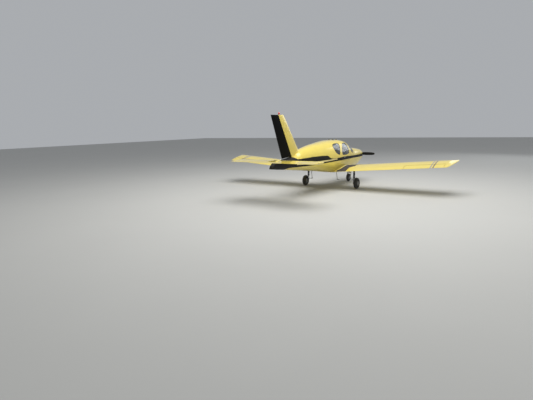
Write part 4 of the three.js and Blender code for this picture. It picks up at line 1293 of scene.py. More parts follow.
@dataclass
class Door:
    """One upward-opening door: skin, lining, window and hinge arms."""

    side: Side
    least: float = 0.082
    wall: float = 0.022

    def show(self, name: str, shape: Shape, finish: Finish, slot: str = "composite_paint",
             replaces: Sequence[str] = ()) -> None:
        """Makes a piece that moves with the door."""
        word = self.side.word
        shown(f"door_{name}_{word}", shape.on(self.side), finish, replaces, f"door_{word}")

    def build(self) -> None:
        """Makes the door's pieces, drawn to port and turned over for starboard."""
        loop = HULL.region(OPENINGS.door, self.least)
        window = HULL.region(OPENINGS.door_window)
        pane, seal = HULL.glazing(window)
        word = self.side.word
        self.show("skin", HULL.plate(loop, [window], 0.0, self.wall), BODY_PAINT, replaces=[f"door_{word}"])
        self.show("lining", HULL.plate(grown(loop, -0.012), [grown(window, 0.01)], self.wall + 0.0005,
                                       self.wall + 0.004, 0.05), TRIM, "cabin_trim")
        self.show("pane", pane, GLASS, "window_glass", [f"door_window_{word}"])
        self.show("pane_seal", seal, SEAL_RUBBER, "window_glass")
        self.hinges()
        self.handle()

    def hinges(self) -> None:
        """Two lugs round each hinge bar, with an arm from each to the door."""
        x, z = HINGE_LINE
        parts = []
        for station in (s + d for s in HINGE_STATIONS for d in (-0.022, 0.022)):
            parts.append(turned_profile(
                [(0.0058, 0), (0.0108, 0), (0.012, 0.0015), (0.012, 0.0185), (0.0108, 0.020), (0.0058, 0.020)], 28,
                at(x, station - 0.010, z), AFT))
            parts.append(brick(at(x + 0.0085, station - 0.0085, 1.932), at(x + 0.034, station + 0.0085, 1.977), 0.004))
        self.show("hinge_arms", joined(*parts), DULL_STEEL)

    def handle(self) -> None:
        """A flush paddle on a dark plate below the window, painted shade standing for its recess, with a lock behind
        it, and the grip inside.
        """
        flat = filleted([(2.925, 1.262), (3.045, 1.262), (3.045, 1.294), (2.925, 1.294)], 0.013)
        loop = HULL.region(flat, step=0.006)
        # A thin dark plate round the paddle, barely proud of the skin: painted shade in place of a cut recess.
        self.show("handle_painted_recess_shade", HULL.plate(grown(loop, 0.005), [], -0.0007, 0.001, 0.012), SEAL_RUBBER)
        self.show("handle_paddle", HULL.plate(grown(loop, -0.0006), [], -0.0026, -0.0002, 0.008), CHROME)
        lock = HULL.heads([3.078], HULL.angle_at(np.array([3.078]), np.array([1.278])), 0.0100, 0.003, 24)
        self.show("lock", lock, BRIGHT_BOLT)
        line = np.array([(3.02, 1.268), (3.02, 1.264), (2.94, 1.260), (2.86, 1.262), (2.86, 1.266)])
        inset = self.wall + np.array([0.002, 0.026, 0.034, 0.026, 0.002])
        grip = HULL.point(line[:, 0], HULL.angle_at(line[:, 0], line[:, 1]), inset)
        knots, s = np.linspace(0, 1, 5), np.linspace(0, 1, 28)
        curve = np.stack([monotone(knots, grip[:, k], s) for k in range(3)], 1)
        self.show("inner_grip", pipe(curve, 0.009), PANEL_BLACK, "cabin_trim")


# ---- Wing and tail surfaces

FORE, TAIL, NOSE = 30, 14, 21  # points ahead of the cut, behind it, and round a moving part's nose


def airfoil(thickness: float, camber: float, place: Array, top: Array) -> Array:
    """Heights of a four-digit wing section's surface, in chords.

    Half the thickness is 5 t (0.2969 sqrt x - 0.126 x - 0.3516 x^2 + 0.2843 x^3 - 0.1015 x^4), laid
    off on a mean line of two parabolas that meet at 0.4 chord.

    Args:
        thickness: greatest thickness, in chords.
        camber: greatest height of the mean line, in chords.
        place: distances aft of the leading edge, in chords.
        top: whether each height is the upper surface's.

    Returns:
        The heights.
    """
    x = np.clip(place, 0, 1)
    half = 5 * thickness * (0.2969 * np.sqrt(x) - 0.126 * x - 0.3516 * x**2 + 0.2843 * x**3 - 0.1015 * x**4)
    mean = np.where(x < 0.4, camber / 0.16 * (0.8 * x - x * x), camber / 0.36 * (0.2 + 0.8 * x - x * x))
    return mean + np.where(top, half, -half)


@dataclass(frozen=True)
class Section:
    """A wing section in its own plane, x aft of its leading edge and z up, and where it is hinged.

    The moving part has a round nose about the hinge. The fixed part ends in a cove round that nose,
    a gap larger, under lips that reach to a distance ahead of the hinge.
    """

    chord: float
    thickness: float
    camber: float = 0.0
    rise: float = 0.0
    hinge: tuple[float, float] = (0.0, 0.0)
    nose: float = 0.05
    gap: float = 0.006
    lips: tuple[float, float] = (0.020, 0.020)
    sheet: float = 0.0014
    lug: float = 0.019

    def skin(self, x: Array, top: Array) -> Array:
        """Heights of the outer surface."""
        return airfoil(self.thickness, self.camber, np.asarray(x) / self.chord, top) * (self.rise or self.chord)

    def path(self, x: Array, top: bool) -> Array:
        """Points of the upper or lower surface."""
        return np.stack([x, self.skin(x, np.full(len(x), top))], 1)

    def fore(self) -> Array:
        """The points ahead of the cut, upper surface first; x grows as the square of the step."""
        s = np.linspace(1, 0, FORE)
        x = [self.hinge[0] - lip for lip in self.lips]
        return np.concatenate([self.path(x[0] * s**2, True), self.path(x[1] * s[::-1][1:] ** 2, False)])

    def whole(self) -> Array:
        """The whole section as a ring from the trailing edge over the top."""
        x = [np.linspace(self.chord, self.hinge[0] - lip, TAIL + 1)[:-1] for lip in self.lips]
        return np.concatenate([self.path(x[0], True), self.fore(), self.path(x[1][::-1], False)])

    def cove(self, top: bool) -> Array:
        """Half the cove: round the hinge from dead ahead to the lip, then along under the skin."""
        radius, sign = self.nose + self.gap, 1 if top else -1
        angle = np.linspace(0, np.pi / 2, 200)
        x, z = self.hinge[0] - radius * np.cos(angle), self.hinge[1] + sign * radius * np.sin(angle)
        lip = self.hinge[0] - self.lips[0 if top else 1]
        under = self.skin(x, np.full(len(x), top)) - sign * self.sheet
        last = angle[(sign * (under - z) > 0) & (x <= lip)].max()
        a = np.linspace(0, last, TAIL - 1)
        ring = np.stack([self.hinge[0] - radius * np.cos(a), self.hinge[1] + sign * radius * np.sin(a)], 1)
        edge = self.path(np.array([lip]), top) - (0, sign * self.sheet)
        return np.concatenate([ring, edge])

    def fixed(self) -> Array:
        """The ring of the part ahead of the hinge, its points in step with whole()."""
        return np.concatenate([self.cove(True), self.fore(), self.cove(False)[::-1]])

    def moving(self, notched: bool = False) -> Array:
        """The ring of the moving part, from its trailing edge over the top.

        Args:
            notched: whether its nose is cut back to the hinge, round a lug.

        Returns:
            The ring, with equally many points either way.
        """
        x = np.linspace(self.chord, self.hinge[0], TAIL)
        top, low = self.path(x, True), self.path(x[::-1], False)
        a = np.linspace(np.pi / 2, -np.pi / 2, NOSE)
        side = np.stack([-np.cos(a), np.sin(a)], 1) * self.nose
        if notched:
            third = NOSE // 3
            b = np.linspace(np.pi / 2, -np.pi / 2, NOSE - 2 * third)
            lug = np.stack([np.cos(b), np.sin(b)], 1) * self.lug
            wall = (0, self.lug) + np.linspace(1, 0, third)[:, None] * (0, self.nose - self.lug)
            side = np.concatenate([wall, lug, -wall[::-1]])
        return np.concatenate([top, side + self.hinge, low])


class Foil:
    """A wing or tail surface: sections along a span, which a subclass sets in place."""

    def section(self, span: float) -> Section:
        """The section at a span."""
        raise NotImplementedError

    def place(self, span: float, ring: Array) -> Array:
        """Section points as points of the aircraft."""
        raise NotImplementedError

    def ring(self, kind: str, span: float) -> Array:
        """One ring in place: whole, fixed, moving or notched."""
        section = self.section(span)
        ring = section.moving(True) if kind == "notched" else getattr(section, kind)()
        return self.place(span, ring)

    def skin(self, *rings: tuple[str, float]) -> Shape:
        """A closed skin through rings given as (kind, span); two at one span make a flat wall."""
        return loft(np.array([self.ring(kind, span) for kind, span in rings]))

    def on_skin(self, span: Array, share: Array, top: bool = True, lift: float = 0.0) -> Array:
        """Points on the surface.

        Args:
            span: spans.
            share: distances aft of the leading edge, in chords.
            top: whether they are on the upper surface.
            lift: distance from it, along the section's own up.

        Returns:
            n x 3 points.
        """
        points = []
        for one, x in zip(np.asarray(span, float), np.asarray(share, float)):
            section = self.section(float(one))
            path = section.path(np.array([x * section.chord]), top) + (0, lift if top else -lift)
            points.append(self.place(float(one), path)[0])
        return np.array(points)

    def normals(self, span: Array, share: Array, top: bool = True) -> Array:
        """Unit normals there, by small steps either way along the span and the chord."""
        span, share, e = np.asarray(span, float), np.asarray(share, float), 0.004
        u = self.on_skin(span + e, share, top) - self.on_skin(span - e, share, top)
        v = self.on_skin(span, share + e, top) - self.on_skin(span, share - e, top)
        normal = np.cross(u, v)
        normal /= np.linalg.norm(normal, axis=1)[:, None]
        facing = self.on_skin(span, share, top, 0.01) - self.on_skin(span, share, top)
        return normal * np.sign((normal * facing).sum(1))[:, None]

    def rivets(self, spans: Sequence[float], shares: Sequence[float], pitch: float = 0.03,
               radius: float = 0.0022) -> Shape:
        """Rows of flush rivet heads: one along the chord at each span, one along the span at each share.

        Args:
            spans: where the rows across the surface lie.
            shares: where the rows along it lie, in chords.
            pitch: spacing of the rivets.
            radius: of a head.

        Returns:
            All the heads as one mesh.
        """
        chord = self.section(float(np.mean(spans))).chord
        across = np.linspace(min(shares), max(shares), int((max(shares) - min(shares)) * chord / pitch))
        along = np.linspace(min(spans), max(spans), int((max(spans) - min(spans)) / (1.6 * pitch)))
        span = np.concatenate([np.repeat(spans, len(across)), np.tile(along, len(shares))])
        share = np.concatenate([np.tile(across, len(spans)), np.repeat(shares, len(along))])
        return joined(*(
            scattered(stud(radius, 0.0006, 6), self.on_skin(span, share, top), self.normals(span, share, top))
            for top in (True, False)))

    def patch_plate(self, outline: Array, height: float, top: bool = True, step: float = 0.04,
                    holes: Sequence[Array] = ()) -> Shape:
        """A thin sheet laid on the surface.

        Args:
            outline: loop of (span, share of the chord).
            height: how far it stands up.
            top: whether it lies on the upper surface.
            step: spacing of its points.
            holes: loops cut out of it.

        Returns:
            The closed sheet.
        """
        flat, faces = patch(outline, holes, step)
        upper, lower = (self.on_skin(flat[:, 0], flat[:, 1], top, lift) for lift in (height, -0.002))
        return outward(plate((flat, faces), upper, lower))

    def bracket(self, span: float, half: float = 0.009) -> Shape:
        """A hinge arm from the cove's wall to a round lug at the hinge, with its pin.

        Args:
            span: where it stands.
            half: half its thickness.

        Returns:
            The arm and the pin, closed.
        """
        section = self.section(span)
        hinge, reach, r = np.array(section.hinge), section.nose + section.gap + 0.012, 0.7 * section.lug
        a = np.linspace(-np.pi / 2, np.pi / 2, 12)
        wide = min(0.026, 0.5 * section.nose)
        outline = np.concatenate([[(-reach, -wide)], r * np.stack([np.cos(a), np.sin(a)], 1), [(-reach, wide)]])
        t = around(12)
        pin = 0.35 * r * np.stack([np.cos(t), np.sin(t)], 1)
        rims = [(-half, 0.9), (-half + 0.001, 1.0), (half - 0.001, 1.0), (half, 0.9)]
        arm = loft(np.array([self.place(span + x, hinge + outline * k) for x, k in rims]))
        rod_ends = loft(np.array([self.place(span + x, hinge + pin) for x in (-2 * half, 2 * half)]))
        return joined(arm, rod_ends)


@dataclass(frozen=True)
class Notches:
    """Where a moving surface's nose is cut back round its hinge brackets."""

    spans: tuple[float, ...]
    half: float = 0.018

    def rings(self, start: float, end: float) -> list[tuple[str, float]]:
        """The moving part's rings from one end to the other, notched at each bracket."""
        rings = [("moving", start)]
        for span in self.spans:
            low, high = span - self.half, span + self.half
            rings += [("moving", low), ("notched", low), ("notched", high), ("moving", high)]
        return [*rings, ("moving", end)]


@dataclass
class Wing(Foil):
    """One wing, drawn to port: the fixed part, tip, flap, aileron and what is fixed to them."""

    side: Side
    leading: float = 2.480
    chord: float = 1.220
    trailing_height: float = 0.690
    incidence: float = math.radians(4.0)
    dihedral: float = math.radians(4.5)
    root: float = 0.36
    tip_start: float = 4.600
    tip_end: float = 4.908
    flap: tuple[float, float] = (1.000, 3.200)
    aileron: tuple[float, float] = (3.212, 4.590)
    swing: float = 0.006
    flap_brackets: Notches = Notches((1.600, 2.960))
    aileron_brackets: Notches = Notches((3.440, 4.270))
    tip_rows: tuple[tuple[float, ...], ...] = (  # span, shares of the chord and of the height, lift
        (4.600, 1.0, 1.0, 0.0), (4.680, 0.985, 0.97, 0.0), (4.745, 0.84, 0.83, 0.006), (4.805, 0.61, 0.62, 0.020),
        (4.860, 0.36, 0.39, 0.037), (4.908, 0.13, 0.14, 0.055))
    tie_down: Point = (2.200, 2.900, 0.812)

    def show(self, name: str, shape: Shape, finish: Finish = WING_PAINT, replaces: Sequence[str] = (),
             part: str = "", slot: str = "wing_paint") -> None:
        """Makes a piece of this side's wing, which may move with one of its parts."""
        word = self.side.word
        nodes = [f"{node}_{word}" for node in replaces]
        shown(f"{name}_{word}", shape.on(self.side), finish, nodes, f"{part}_{word}" if part else "airframe")

    def section(self, span: float) -> Section:
        """The section at a span, drawn in towards the tip through the tip's rows."""
        table = np.array(self.tip_rows)
        chord, rise = (float(monotone(table[:, 0], table[:, k], np.array(span))) for k in (1, 2))
        ahead = 0.28 * self.chord
        lips = (0.006, 0.032) if span < 0.5 * (self.flap[1] + self.aileron[0]) else (0.021, 0.032)
        return Section(chord * self.chord, 0.16, 0.02, rise * self.chord,
                       (chord * (self.chord - ahead) - 0.0013, 0.0191), 0.0545, lips=lips)

    def place(self, span: float, ring: Array) -> Array:
        """Sets a section at its incidence, then turns the wing up by its dihedral about the root."""
        table = np.array(self.tip_rows)
        lift = float(monotone(table[:, 0], table[:, 3], np.array(span)))
        ahead, up = self.chord - ring[:, 0], ring[:, 1] + lift
        c, s = math.cos(self.incidence), math.sin(self.incidence)
        y = self.leading + self.chord - ahead * c + up * s + FIRST_STATION
        rise = ahead * s + up * c
        c, s = math.cos(self.dihedral), math.sin(self.dihedral)
        return np.stack([c * span - s * rise, y, s * span + c * rise + self.trailing_height], 1)

    def panels(self) -> None:
        """The fixed wing with its two bays, the flap and the aileron."""
        (f0, f1), (a0, a1), g = self.flap, self.aileron, self.swing
        fixed = self.skin(("whole", self.root), ("whole", f0), ("fixed", f0), ("fixed", f1), ("whole", f1),
                          ("whole", a0), ("fixed", a0), ("fixed", a1), ("whole", a1), ("whole", self.tip_start))
        self.show("wing_skin", fixed, replaces=["wing"])
        for name, brackets, start, end in (("flap", self.flap_brackets, f0, f1),
                                           ("aileron", self.aileron_brackets, a0, a1)):
            self.show(f"{name}_skin", self.skin(*brackets.rings(start + g, end - g)), replaces=[name], part=name)
        arms = joined(*(self.bracket(span) for span in self.flap_brackets.spans + self.aileron_brackets.spans))
        self.show("wing_hinge_arms", arms, DULL_STEEL)

    def tip(self) -> None:
        """The tip fairing: sections that shrink towards a raked, upturned edge and close on it."""
        spans = np.linspace(self.tip_start + 0.0012, self.tip_end - 0.004, 30)
        rings = [self.ring("whole", float(span)) for span in spans]
        last = rings[-1]
        middle = last.mean(0)
        out = self.place(self.tip_end, self.section(self.tip_end).whole()).mean(0) - middle
        rings += [middle + (last - middle) * math.cos(a) + out * math.sin(a) for a in (0.5, 1.0, 1.4)]
        self.show("wing_tip_skin", loft(np.array(rings)), replaces=["wing_tip"])

    def rivet_rows(self) -> None:
        """Rivets along the ribs and spars of the fixed wing, the flap and the aileron."""
        heads = joined(
            self.rivets(np.arange(0.80, 4.59, 0.31), (0.04, 0.30, 0.66), 0.034),
            self.rivets((self.tip_start - 0.012,), (0.03, 0.60), 0.034))
        self.show("wing_rivets", heads)
        for name, span in (("flap", self.flap), ("aileron", self.aileron)):
            rows = np.linspace(span[0] + 0.03, span[1] - 0.03, 8)
            self.show(f"{name}_rivets", self.rivets(rows, (0.745, 0.95), 0.034), part=name)

    def stood(self, shape: Shape, span: float, share: float, top: bool) -> Shape:
        """A small shape, drawn with its foot at the origin, stood on the wing's surface."""
        return scattered(shape, self.on_skin([span], [share], top), self.normals([span], [share], top))

    def fittings(self) -> None:
        """The walkway, fuel cap, inspection covers, drain and tie-down post."""
        walk = np.array([(0.60, 0.075), (0.90, 0.075), (1.16, 0.13), (1.16, 0.52), (0.985, 0.64), (0.985, 0.985),
                         (0.60, 0.985)])
        inner = filleted(walk, 0.03)
        edge = self.patch_plate(grown(inner, 0.008), 0.0010, step=0.014, holes=[grown(inner, -0.002)])
        self.show("walkway_edge", edge, DARK_GREY)
        self.show("walkway", self.patch_plate(inner, 0.0018, step=0.014), WALKWAY)
        cap = turned_profile([(0, -0.002), (0.047, -0.002), (0.047, 0.002), (0.040, 0.003), (0.038, 0.001),
                              (0.034, 0.001), (0.032, 0.007), (0, 0.008)], 40)
        lever = brick((-0.026, -0.006, 0.006), (0.020, 0.006, 0.012), 0.003)
        self.show("fuel_cap", self.stood(joined(cap, lever), 1.62, 0.24, True), CAST_ALLOY)
        t = around(30)
        circle = np.stack([np.cos(t), np.sin(t) / self.chord], 1)
        covers = []
        for middle in ((1.35, 0.22), (2.35, 0.46), (3.35, 0.46), (4.10, 0.46)):
            covers.append(self.patch_plate(middle + 0.075 * circle, 0.0014, top=False))
            places = (middle + 0.064 * circle[::5]).T
            covers.append(scattered(stud(0.004, 0.0028), self.on_skin(*places, False), self.normals(*places, False)))
        self.show("inspection_covers", joined(*covers))
        drain = turned_profile([(0, -0.004), (0.012, -0.004), (0.012, 0.002), (0.006, 0.004), (0.006, 0.016),
                                (0.004, 0.018), (0, 0.018)], 16)
        self.show("fuel_drain", self.stood(drain, 0.80, 0.42, False), BRIGHT_BOLT)
        x, s, z = self.tie_down
        self.show("tie_down_post", rod(at(x, s, z + 0.06), at(x, s, z + 0.0005), 0.022, sides=28), DULL_STEEL)

    def lights(self) -> None:
        """A coloured lamp at the tip's leading edge: a long ellipsoid on a wider, flatter dark one."""
        u, v = np.linspace(0, np.pi, 15)[:, None], around(24)
        ball = np.stack([np.sin(u) * np.cos(v), np.cos(u) * np.ones(24), np.sin(u) * np.sin(v)], -1)
        middle = self.place(4.842, self.section(4.842).path(np.array([0.045]), True))[0] - (0, 0, 0.012)
        lens = RED_LENS if self.side is Side.LEFT else GREEN_LENS
        for name, half, finish, slot in (("tip_lamp", (0.020, 0.046, 0.015), lens, "red_lens"),
                                         ("tip_lamp_base", (0.024, 0.052, 0.010), DARK_GREY, "wing_paint")):
            self.show(name, loft((middle + ball * half)[1:-1]), finish, slot=slot)

    def build(self) -> None:
        """Makes every piece of the wing."""
        self.panels()
        self.tip()
        self.rivet_rows()
        self.fittings()
        self.lights()


@dataclass
class RootFairing:
    """The curved strip between a wing and the body: at each point round the section, a parabola
    that leaves the wing a distance out from the joint and meets the body as far up or down."""

    wing: Wing
    reach: tuple[float, float] = (0.016, 0.110)
    aft: float = 0.26
    steps: int = 9

    def joint(self, share: Array, top: Array) -> Array:
        """Where the wing's surface crosses the body, by halving the span between inside and outside.

        Args:
            share: distances aft of the leading edge, in chords.
            top: whether each point is on the upper surface.

        Returns:
            n x 3 points.
        """
        low, high = np.full(len(share), 0.36), np.full(len(share), 0.80)
        for _ in range(18):
            middle = (low + high) / 2
            at = self.at(middle, share, top)
            inside_body = at[:, 0] < self.body_at(at[:, 1] - FIRST_STATION, at[:, 2])[:, 0]
            low, high = np.where(inside_body, middle, low), np.where(inside_body, high, middle)
        return self.at(high, share, top)

    def at(self, span: Array, share: Array, top: Array) -> Array:
        """Points of the wing's surface at many spans."""
        section = self.wing.section(1.0)
        ring = np.stack([share * section.chord, section.skin(share * section.chord, top)], 1)
        base, tip = self.wing.place(0.0, ring), self.wing.place(1.0, ring)
        return base + (tip - base) * span[:, None]

    def body_at(self, station: Array, height: Array) -> Array:
        """Points of the body's surface at given heights."""
        return HULL.point(station, HULL.angle_at(station, height))

    def closing(self, ring: Array) -> Array:
        """Rings aft of the trailing edge, which shrink by (1 - e)^1.6 and sink to the body.

        Args:
            ring: the fairing's edge at the trailing edge, n x 3.

        Returns:
            12 x n x 3 points.
        """
        e = np.linspace(0, 1, 12)[:, None]
        keep = (1 - e) ** 1.6
        trailing = self.wing.leading + self.wing.chord
        middle = ring[:, 2].mean()
        height = 0.02 * e + middle + (ring[:, 2] - middle) * keep
        station = np.broadcast_to(trailing + self.aft * e, height.shape)
        proud = ring[:, 0] - self.body_at(np.full(len(ring), trailing), ring[:, 2])[:, 0]
        across = self.body_at(station, height)[..., 0] + proud * keep
        return np.stack([across, station + FIRST_STATION, height], -1)

    def build(self) -> None:
        """Makes the fairing, round the section and tapering away aft of the trailing edge."""
        s = np.linspace(1, 0, 44)
        share = np.concatenate([s**1.6, (s[::-1][1:]) ** 1.6])
        top = np.concatenate([np.ones(44, bool), np.zeros(43, bool)])
        joint = self.joint(share, top)
        reach = self.reach[0] + (self.reach[1] - self.reach[0]) * share**1.5
        reach = np.where(top, reach, 0.35 * reach)
        station = joint[:, 1] - FIRST_STATION
        sign = np.where(top, 1.0, -1.0)
        on_wing = self.at(np.full(len(share), 1.0), share, top) - self.at(np.full(len(share), 0.0), share, top)
        out = joint + on_wing * reach[:, None]
        up = self.body_at(station, joint[:, 2] + sign * reach)
        fore = 0.5 * reach * np.clip(1 - share / 0.05, 0, 1)
        out[:, 1] -= 0.4 * fore
        up[:, 1] -= fore
        t = np.linspace(0, 1, self.steps)[:, None, None]
        outer = (1 - t) ** 2 * out + 2 * t * (1 - t) * joint + t**2 * up
        outer[0] -= sign[:, None] * (0, 0, 0.002)
        outer[-1] -= (0.004, 0, 0)
        strip = outer.transpose(1, 0, 2)
        sheet = Shape(strip.reshape(-1, 3), grid_faces(len(strip), strip.shape[1]))
        rings = self.closing(np.concatenate([strip[0], strip[-1][::-1]]))
        shape = joined(sheet, Shape(rings.reshape(-1, 3), grid_faces(len(rings), rings.shape[1])))
        self.wing.show("wing_root_fairing", banded(shape), BODY_PAINT, slot="body_paint")


@dataclass
class Fin(Foil):
    """The fin and the rudder, one tapered surface cut along a raked hinge; spans are heights."""

    base: float = 1.425
    top: float = 2.940
    leading: tuple[float, float] = (5.448, 6.660)
    trailing: tuple[float, float] = (6.789, 7.450)
    hinge: tuple[float, float] = (6.200, 7.050)
    noses: tuple[float, float] = (0.0485, 0.0315)
    thickness: float = 0.09
    brackets: Notches = Notches((1.728, 2.6673))
    lower_edge: tuple[tuple[float, float], ...] = ((6.180, 1.527), (6.900, 1.470))
    rounding: float = 0.022

    def section(self, span: float) -> Section:
        """The section at a height: leading edge, hinge, trailing edge and nose on straight lines."""
        t = (min(span, self.top) - self.base) / (self.top - self.base)
        leading, trailing, hinge, nose = (
            a + (b - a) * t for a, b in (self.leading, self.trailing, self.hinge, self.noses))
        chord = trailing - leading
        return Section(chord, self.thickness, 0.0, chord, (hinge - leading, 0.0), nose, lips=(0.025, 0.025))

    def place(self, span: float, ring: Array) -> Array:
        """Stands a section up at its height; near the top it is drawn in by a quarter circle."""
        t = (min(span, self.top) - self.base) / (self.top - self.base)
        leading = self.leading[0] + (self.leading[1] - self.leading[0]) * t
        past = np.clip((span - self.top + self.rounding) / self.rounding, 0, 0.97)
        thin = math.sqrt(1 - past * past)
        return np.stack([ring[:, 1] * thin, leading + ring[:, 0] + FIRST_STATION, np.full(len(ring), span)], 1)

    def cut_below(self, ring: Array, above: Array) -> Array:
        """Carries a ring's points up the straight lines to the ring above, to the rudder's lower edge."""
        (s0, z0), (s1, z1) = self.lower_edge
        slope = (z1 - z0) / (s1 - s0)
        rise = above - ring
        level = z0 + slope * (ring[:, 1] - FIRST_STATION - s0)
        share = (level - ring[:, 2]) / (rise[:, 2] - slope * rise[:, 1])
        return ring + rise * share[:, None]

    def build(self) -> None:
        """Makes the fin, the rudder, their hinges and their rivets."""
        edge = self.top - self.rounding
        spans = [self.base, *np.linspace(1.6, edge, 6)]
        crown = [edge + self.rounding * k for k in (0.3, 0.55, 0.75, 0.9, 1.0)]
        fixed = self.skin(*(("fixed", float(z)) for z in [*spans, *crown]))
        shown("fin_skin", fixed, TAIL_PAINT, ["fin"])
        rings = self.brackets.rings(1.56, edge) + [("moving", z) for z in crown]
        points = np.array([self.ring(kind, span) for kind, span in rings])
        foot = self.cut_below(self.ring("moving", 1.45), self.ring("moving", 1.56))
        rudder = loft(np.concatenate([foot[None], points]))
        shown("rudder_skin", rudder, BLACK_PAINT, ["rudder"], "rudder")
        shown("rudder_hinge_arms", joined(*(self.bracket(z) for z in self.brackets.spans)), DULL_STEEL)
        heads = self.rivets(np.linspace(1.75, 2.90, 6), (0.05, 0.30, 0.50), 0.034)
        shown("fin_rivets", heads, TAIL_PAINT)
        heads = self.rivets(np.linspace(1.60, 2.90, 6), (0.60, 0.955), 0.034)
        shown("rudder_rivets", heads, BLACK_PAINT, body="rudder")


@dataclass
class Tailplane(Foil):
    """The all-moving tailplane in two halves on a tube, and the tab across its trailing edge."""

    leading: float = 6.800
    chord: float = 0.800
    half_span: float = 1.600
    root: float = 0.172
    height: float = 1.400
    pivot: float = 7.016
    tube: float = 0.025
    tab_hinge: float = 7.462
    tab_half: float = 1.150
    swing: float = 0.006
    rounding: float = 0.045
    brackets: Notches = Notches((0.690,), 0.016)

    def section(self, span: float) -> Section:
        """One section all along; near the tip its chord shrinks by a quarter ellipse."""
        past = np.clip((abs(span) - self.half_span + self.rounding) / self.rounding, 0, 0.98)
        chord = self.chord * (0.93 + 0.07 * math.sqrt(1 - past * past))
        rise = self.chord * math.sqrt(1 - 0.97 * past * past)
        return Section(chord, 0.1, 0.0, rise, (self.tab_hinge - self.leading - (self.chord - chord), 0.0), 0.0152,
                       lips=(0.015, 0.015), lug=0.009)

    def place(self, span: float, ring: Array) -> Array:
        """Sets a section across the tail with its trailing edge in line."""
        front = self.leading + self.chord - self.section(span).chord
        return np.stack([np.full(len(ring), span), front + ring[:, 0] + FIRST_STATION, self.height + ring[:, 1]], 1)

    def build(self) -> None:
        """Makes the halves, the tube, the tab, the hinges and the rivets."""
        edge = self.half_span - self.rounding
        tips = [edge + self.rounding * k for k in (0.3, 0.55, 0.75, 0.9, 1.0)]
        half = self.skin(("fixed", self.root), ("fixed", self.tab_half), ("whole", self.tab_half), ("whole", edge),
                         *(("whole", x) for x in tips))
        ends = (at(x, self.pivot, self.height) for x in (-self.root - 0.04, self.root + 0.04))
        shown("stabilator_skin", both(half), TAIL_PAINT, ["stabilator"], "stabilator")
        shown("stabilator_tube", rod(*ends, self.tube, sides=40), DULL_STEEL, body="stabilator")
        port = self.brackets.rings(0.0, self.tab_half - self.swing)
        starboard = [(kind, -span) for kind, span in port[:0:-1]]
        shown("anti_tab_skin", self.skin(*starboard, *port), TAIL_PAINT, ["anti_tab"], "anti_tab")
        arms = self.bracket(self.brackets.spans[0], 0.007)
        shown("anti_tab_hinge_arms", both(arms), DULL_STEEL, body="stabilator")
        heads = self.rivets(np.linspace(0.20, 1.54, 6), (0.05, 0.30, 0.78), 0.032)
        shown("stabilator_rivets", both(heads), TAIL_PAINT, body="stabilator")


# ---- Propeller, engine and exhaust


def ring_of(shape: Shape, count: int, radius: float, middle: Sequence[float], axis: Sequence[float],
            start: float = 0.0) -> Shape:
    """Copies of a small shape, set round an axis with their tops along it.

    Args:
        shape: the shape, its foot at the origin and its top along Z.
        count: how many.
        radius: distance of each from the axis.
        middle: the ring's middle.
        axis: the axis.
        start: angle of the first, in radians.

    Returns:
        All the copies as one mesh.
    """
    across, up, along = frame_of(axis)
    t = start + around(count)[:, None]
    places = np.asarray(middle) + radius * (np.cos(t) * across + np.sin(t) * up)
    return scattered(shape, places, np.broadcast_to(along, places.shape))


def bolt(radius: float, height: float) -> Shape:
    """A hexagon head on a washer, its foot at the origin."""
    washer = turned_profile([(0, -0.001), (1.25 * radius, -0.001), (1.25 * radius, 0.2 * height), (0, 0.2 * height)],
                            14)
    head = turned_profile([(0, 0), (radius, 0), (radius, 0.85 * height), (0.86 * radius, height), (0, height)], 6)
    return joined(washer, head)


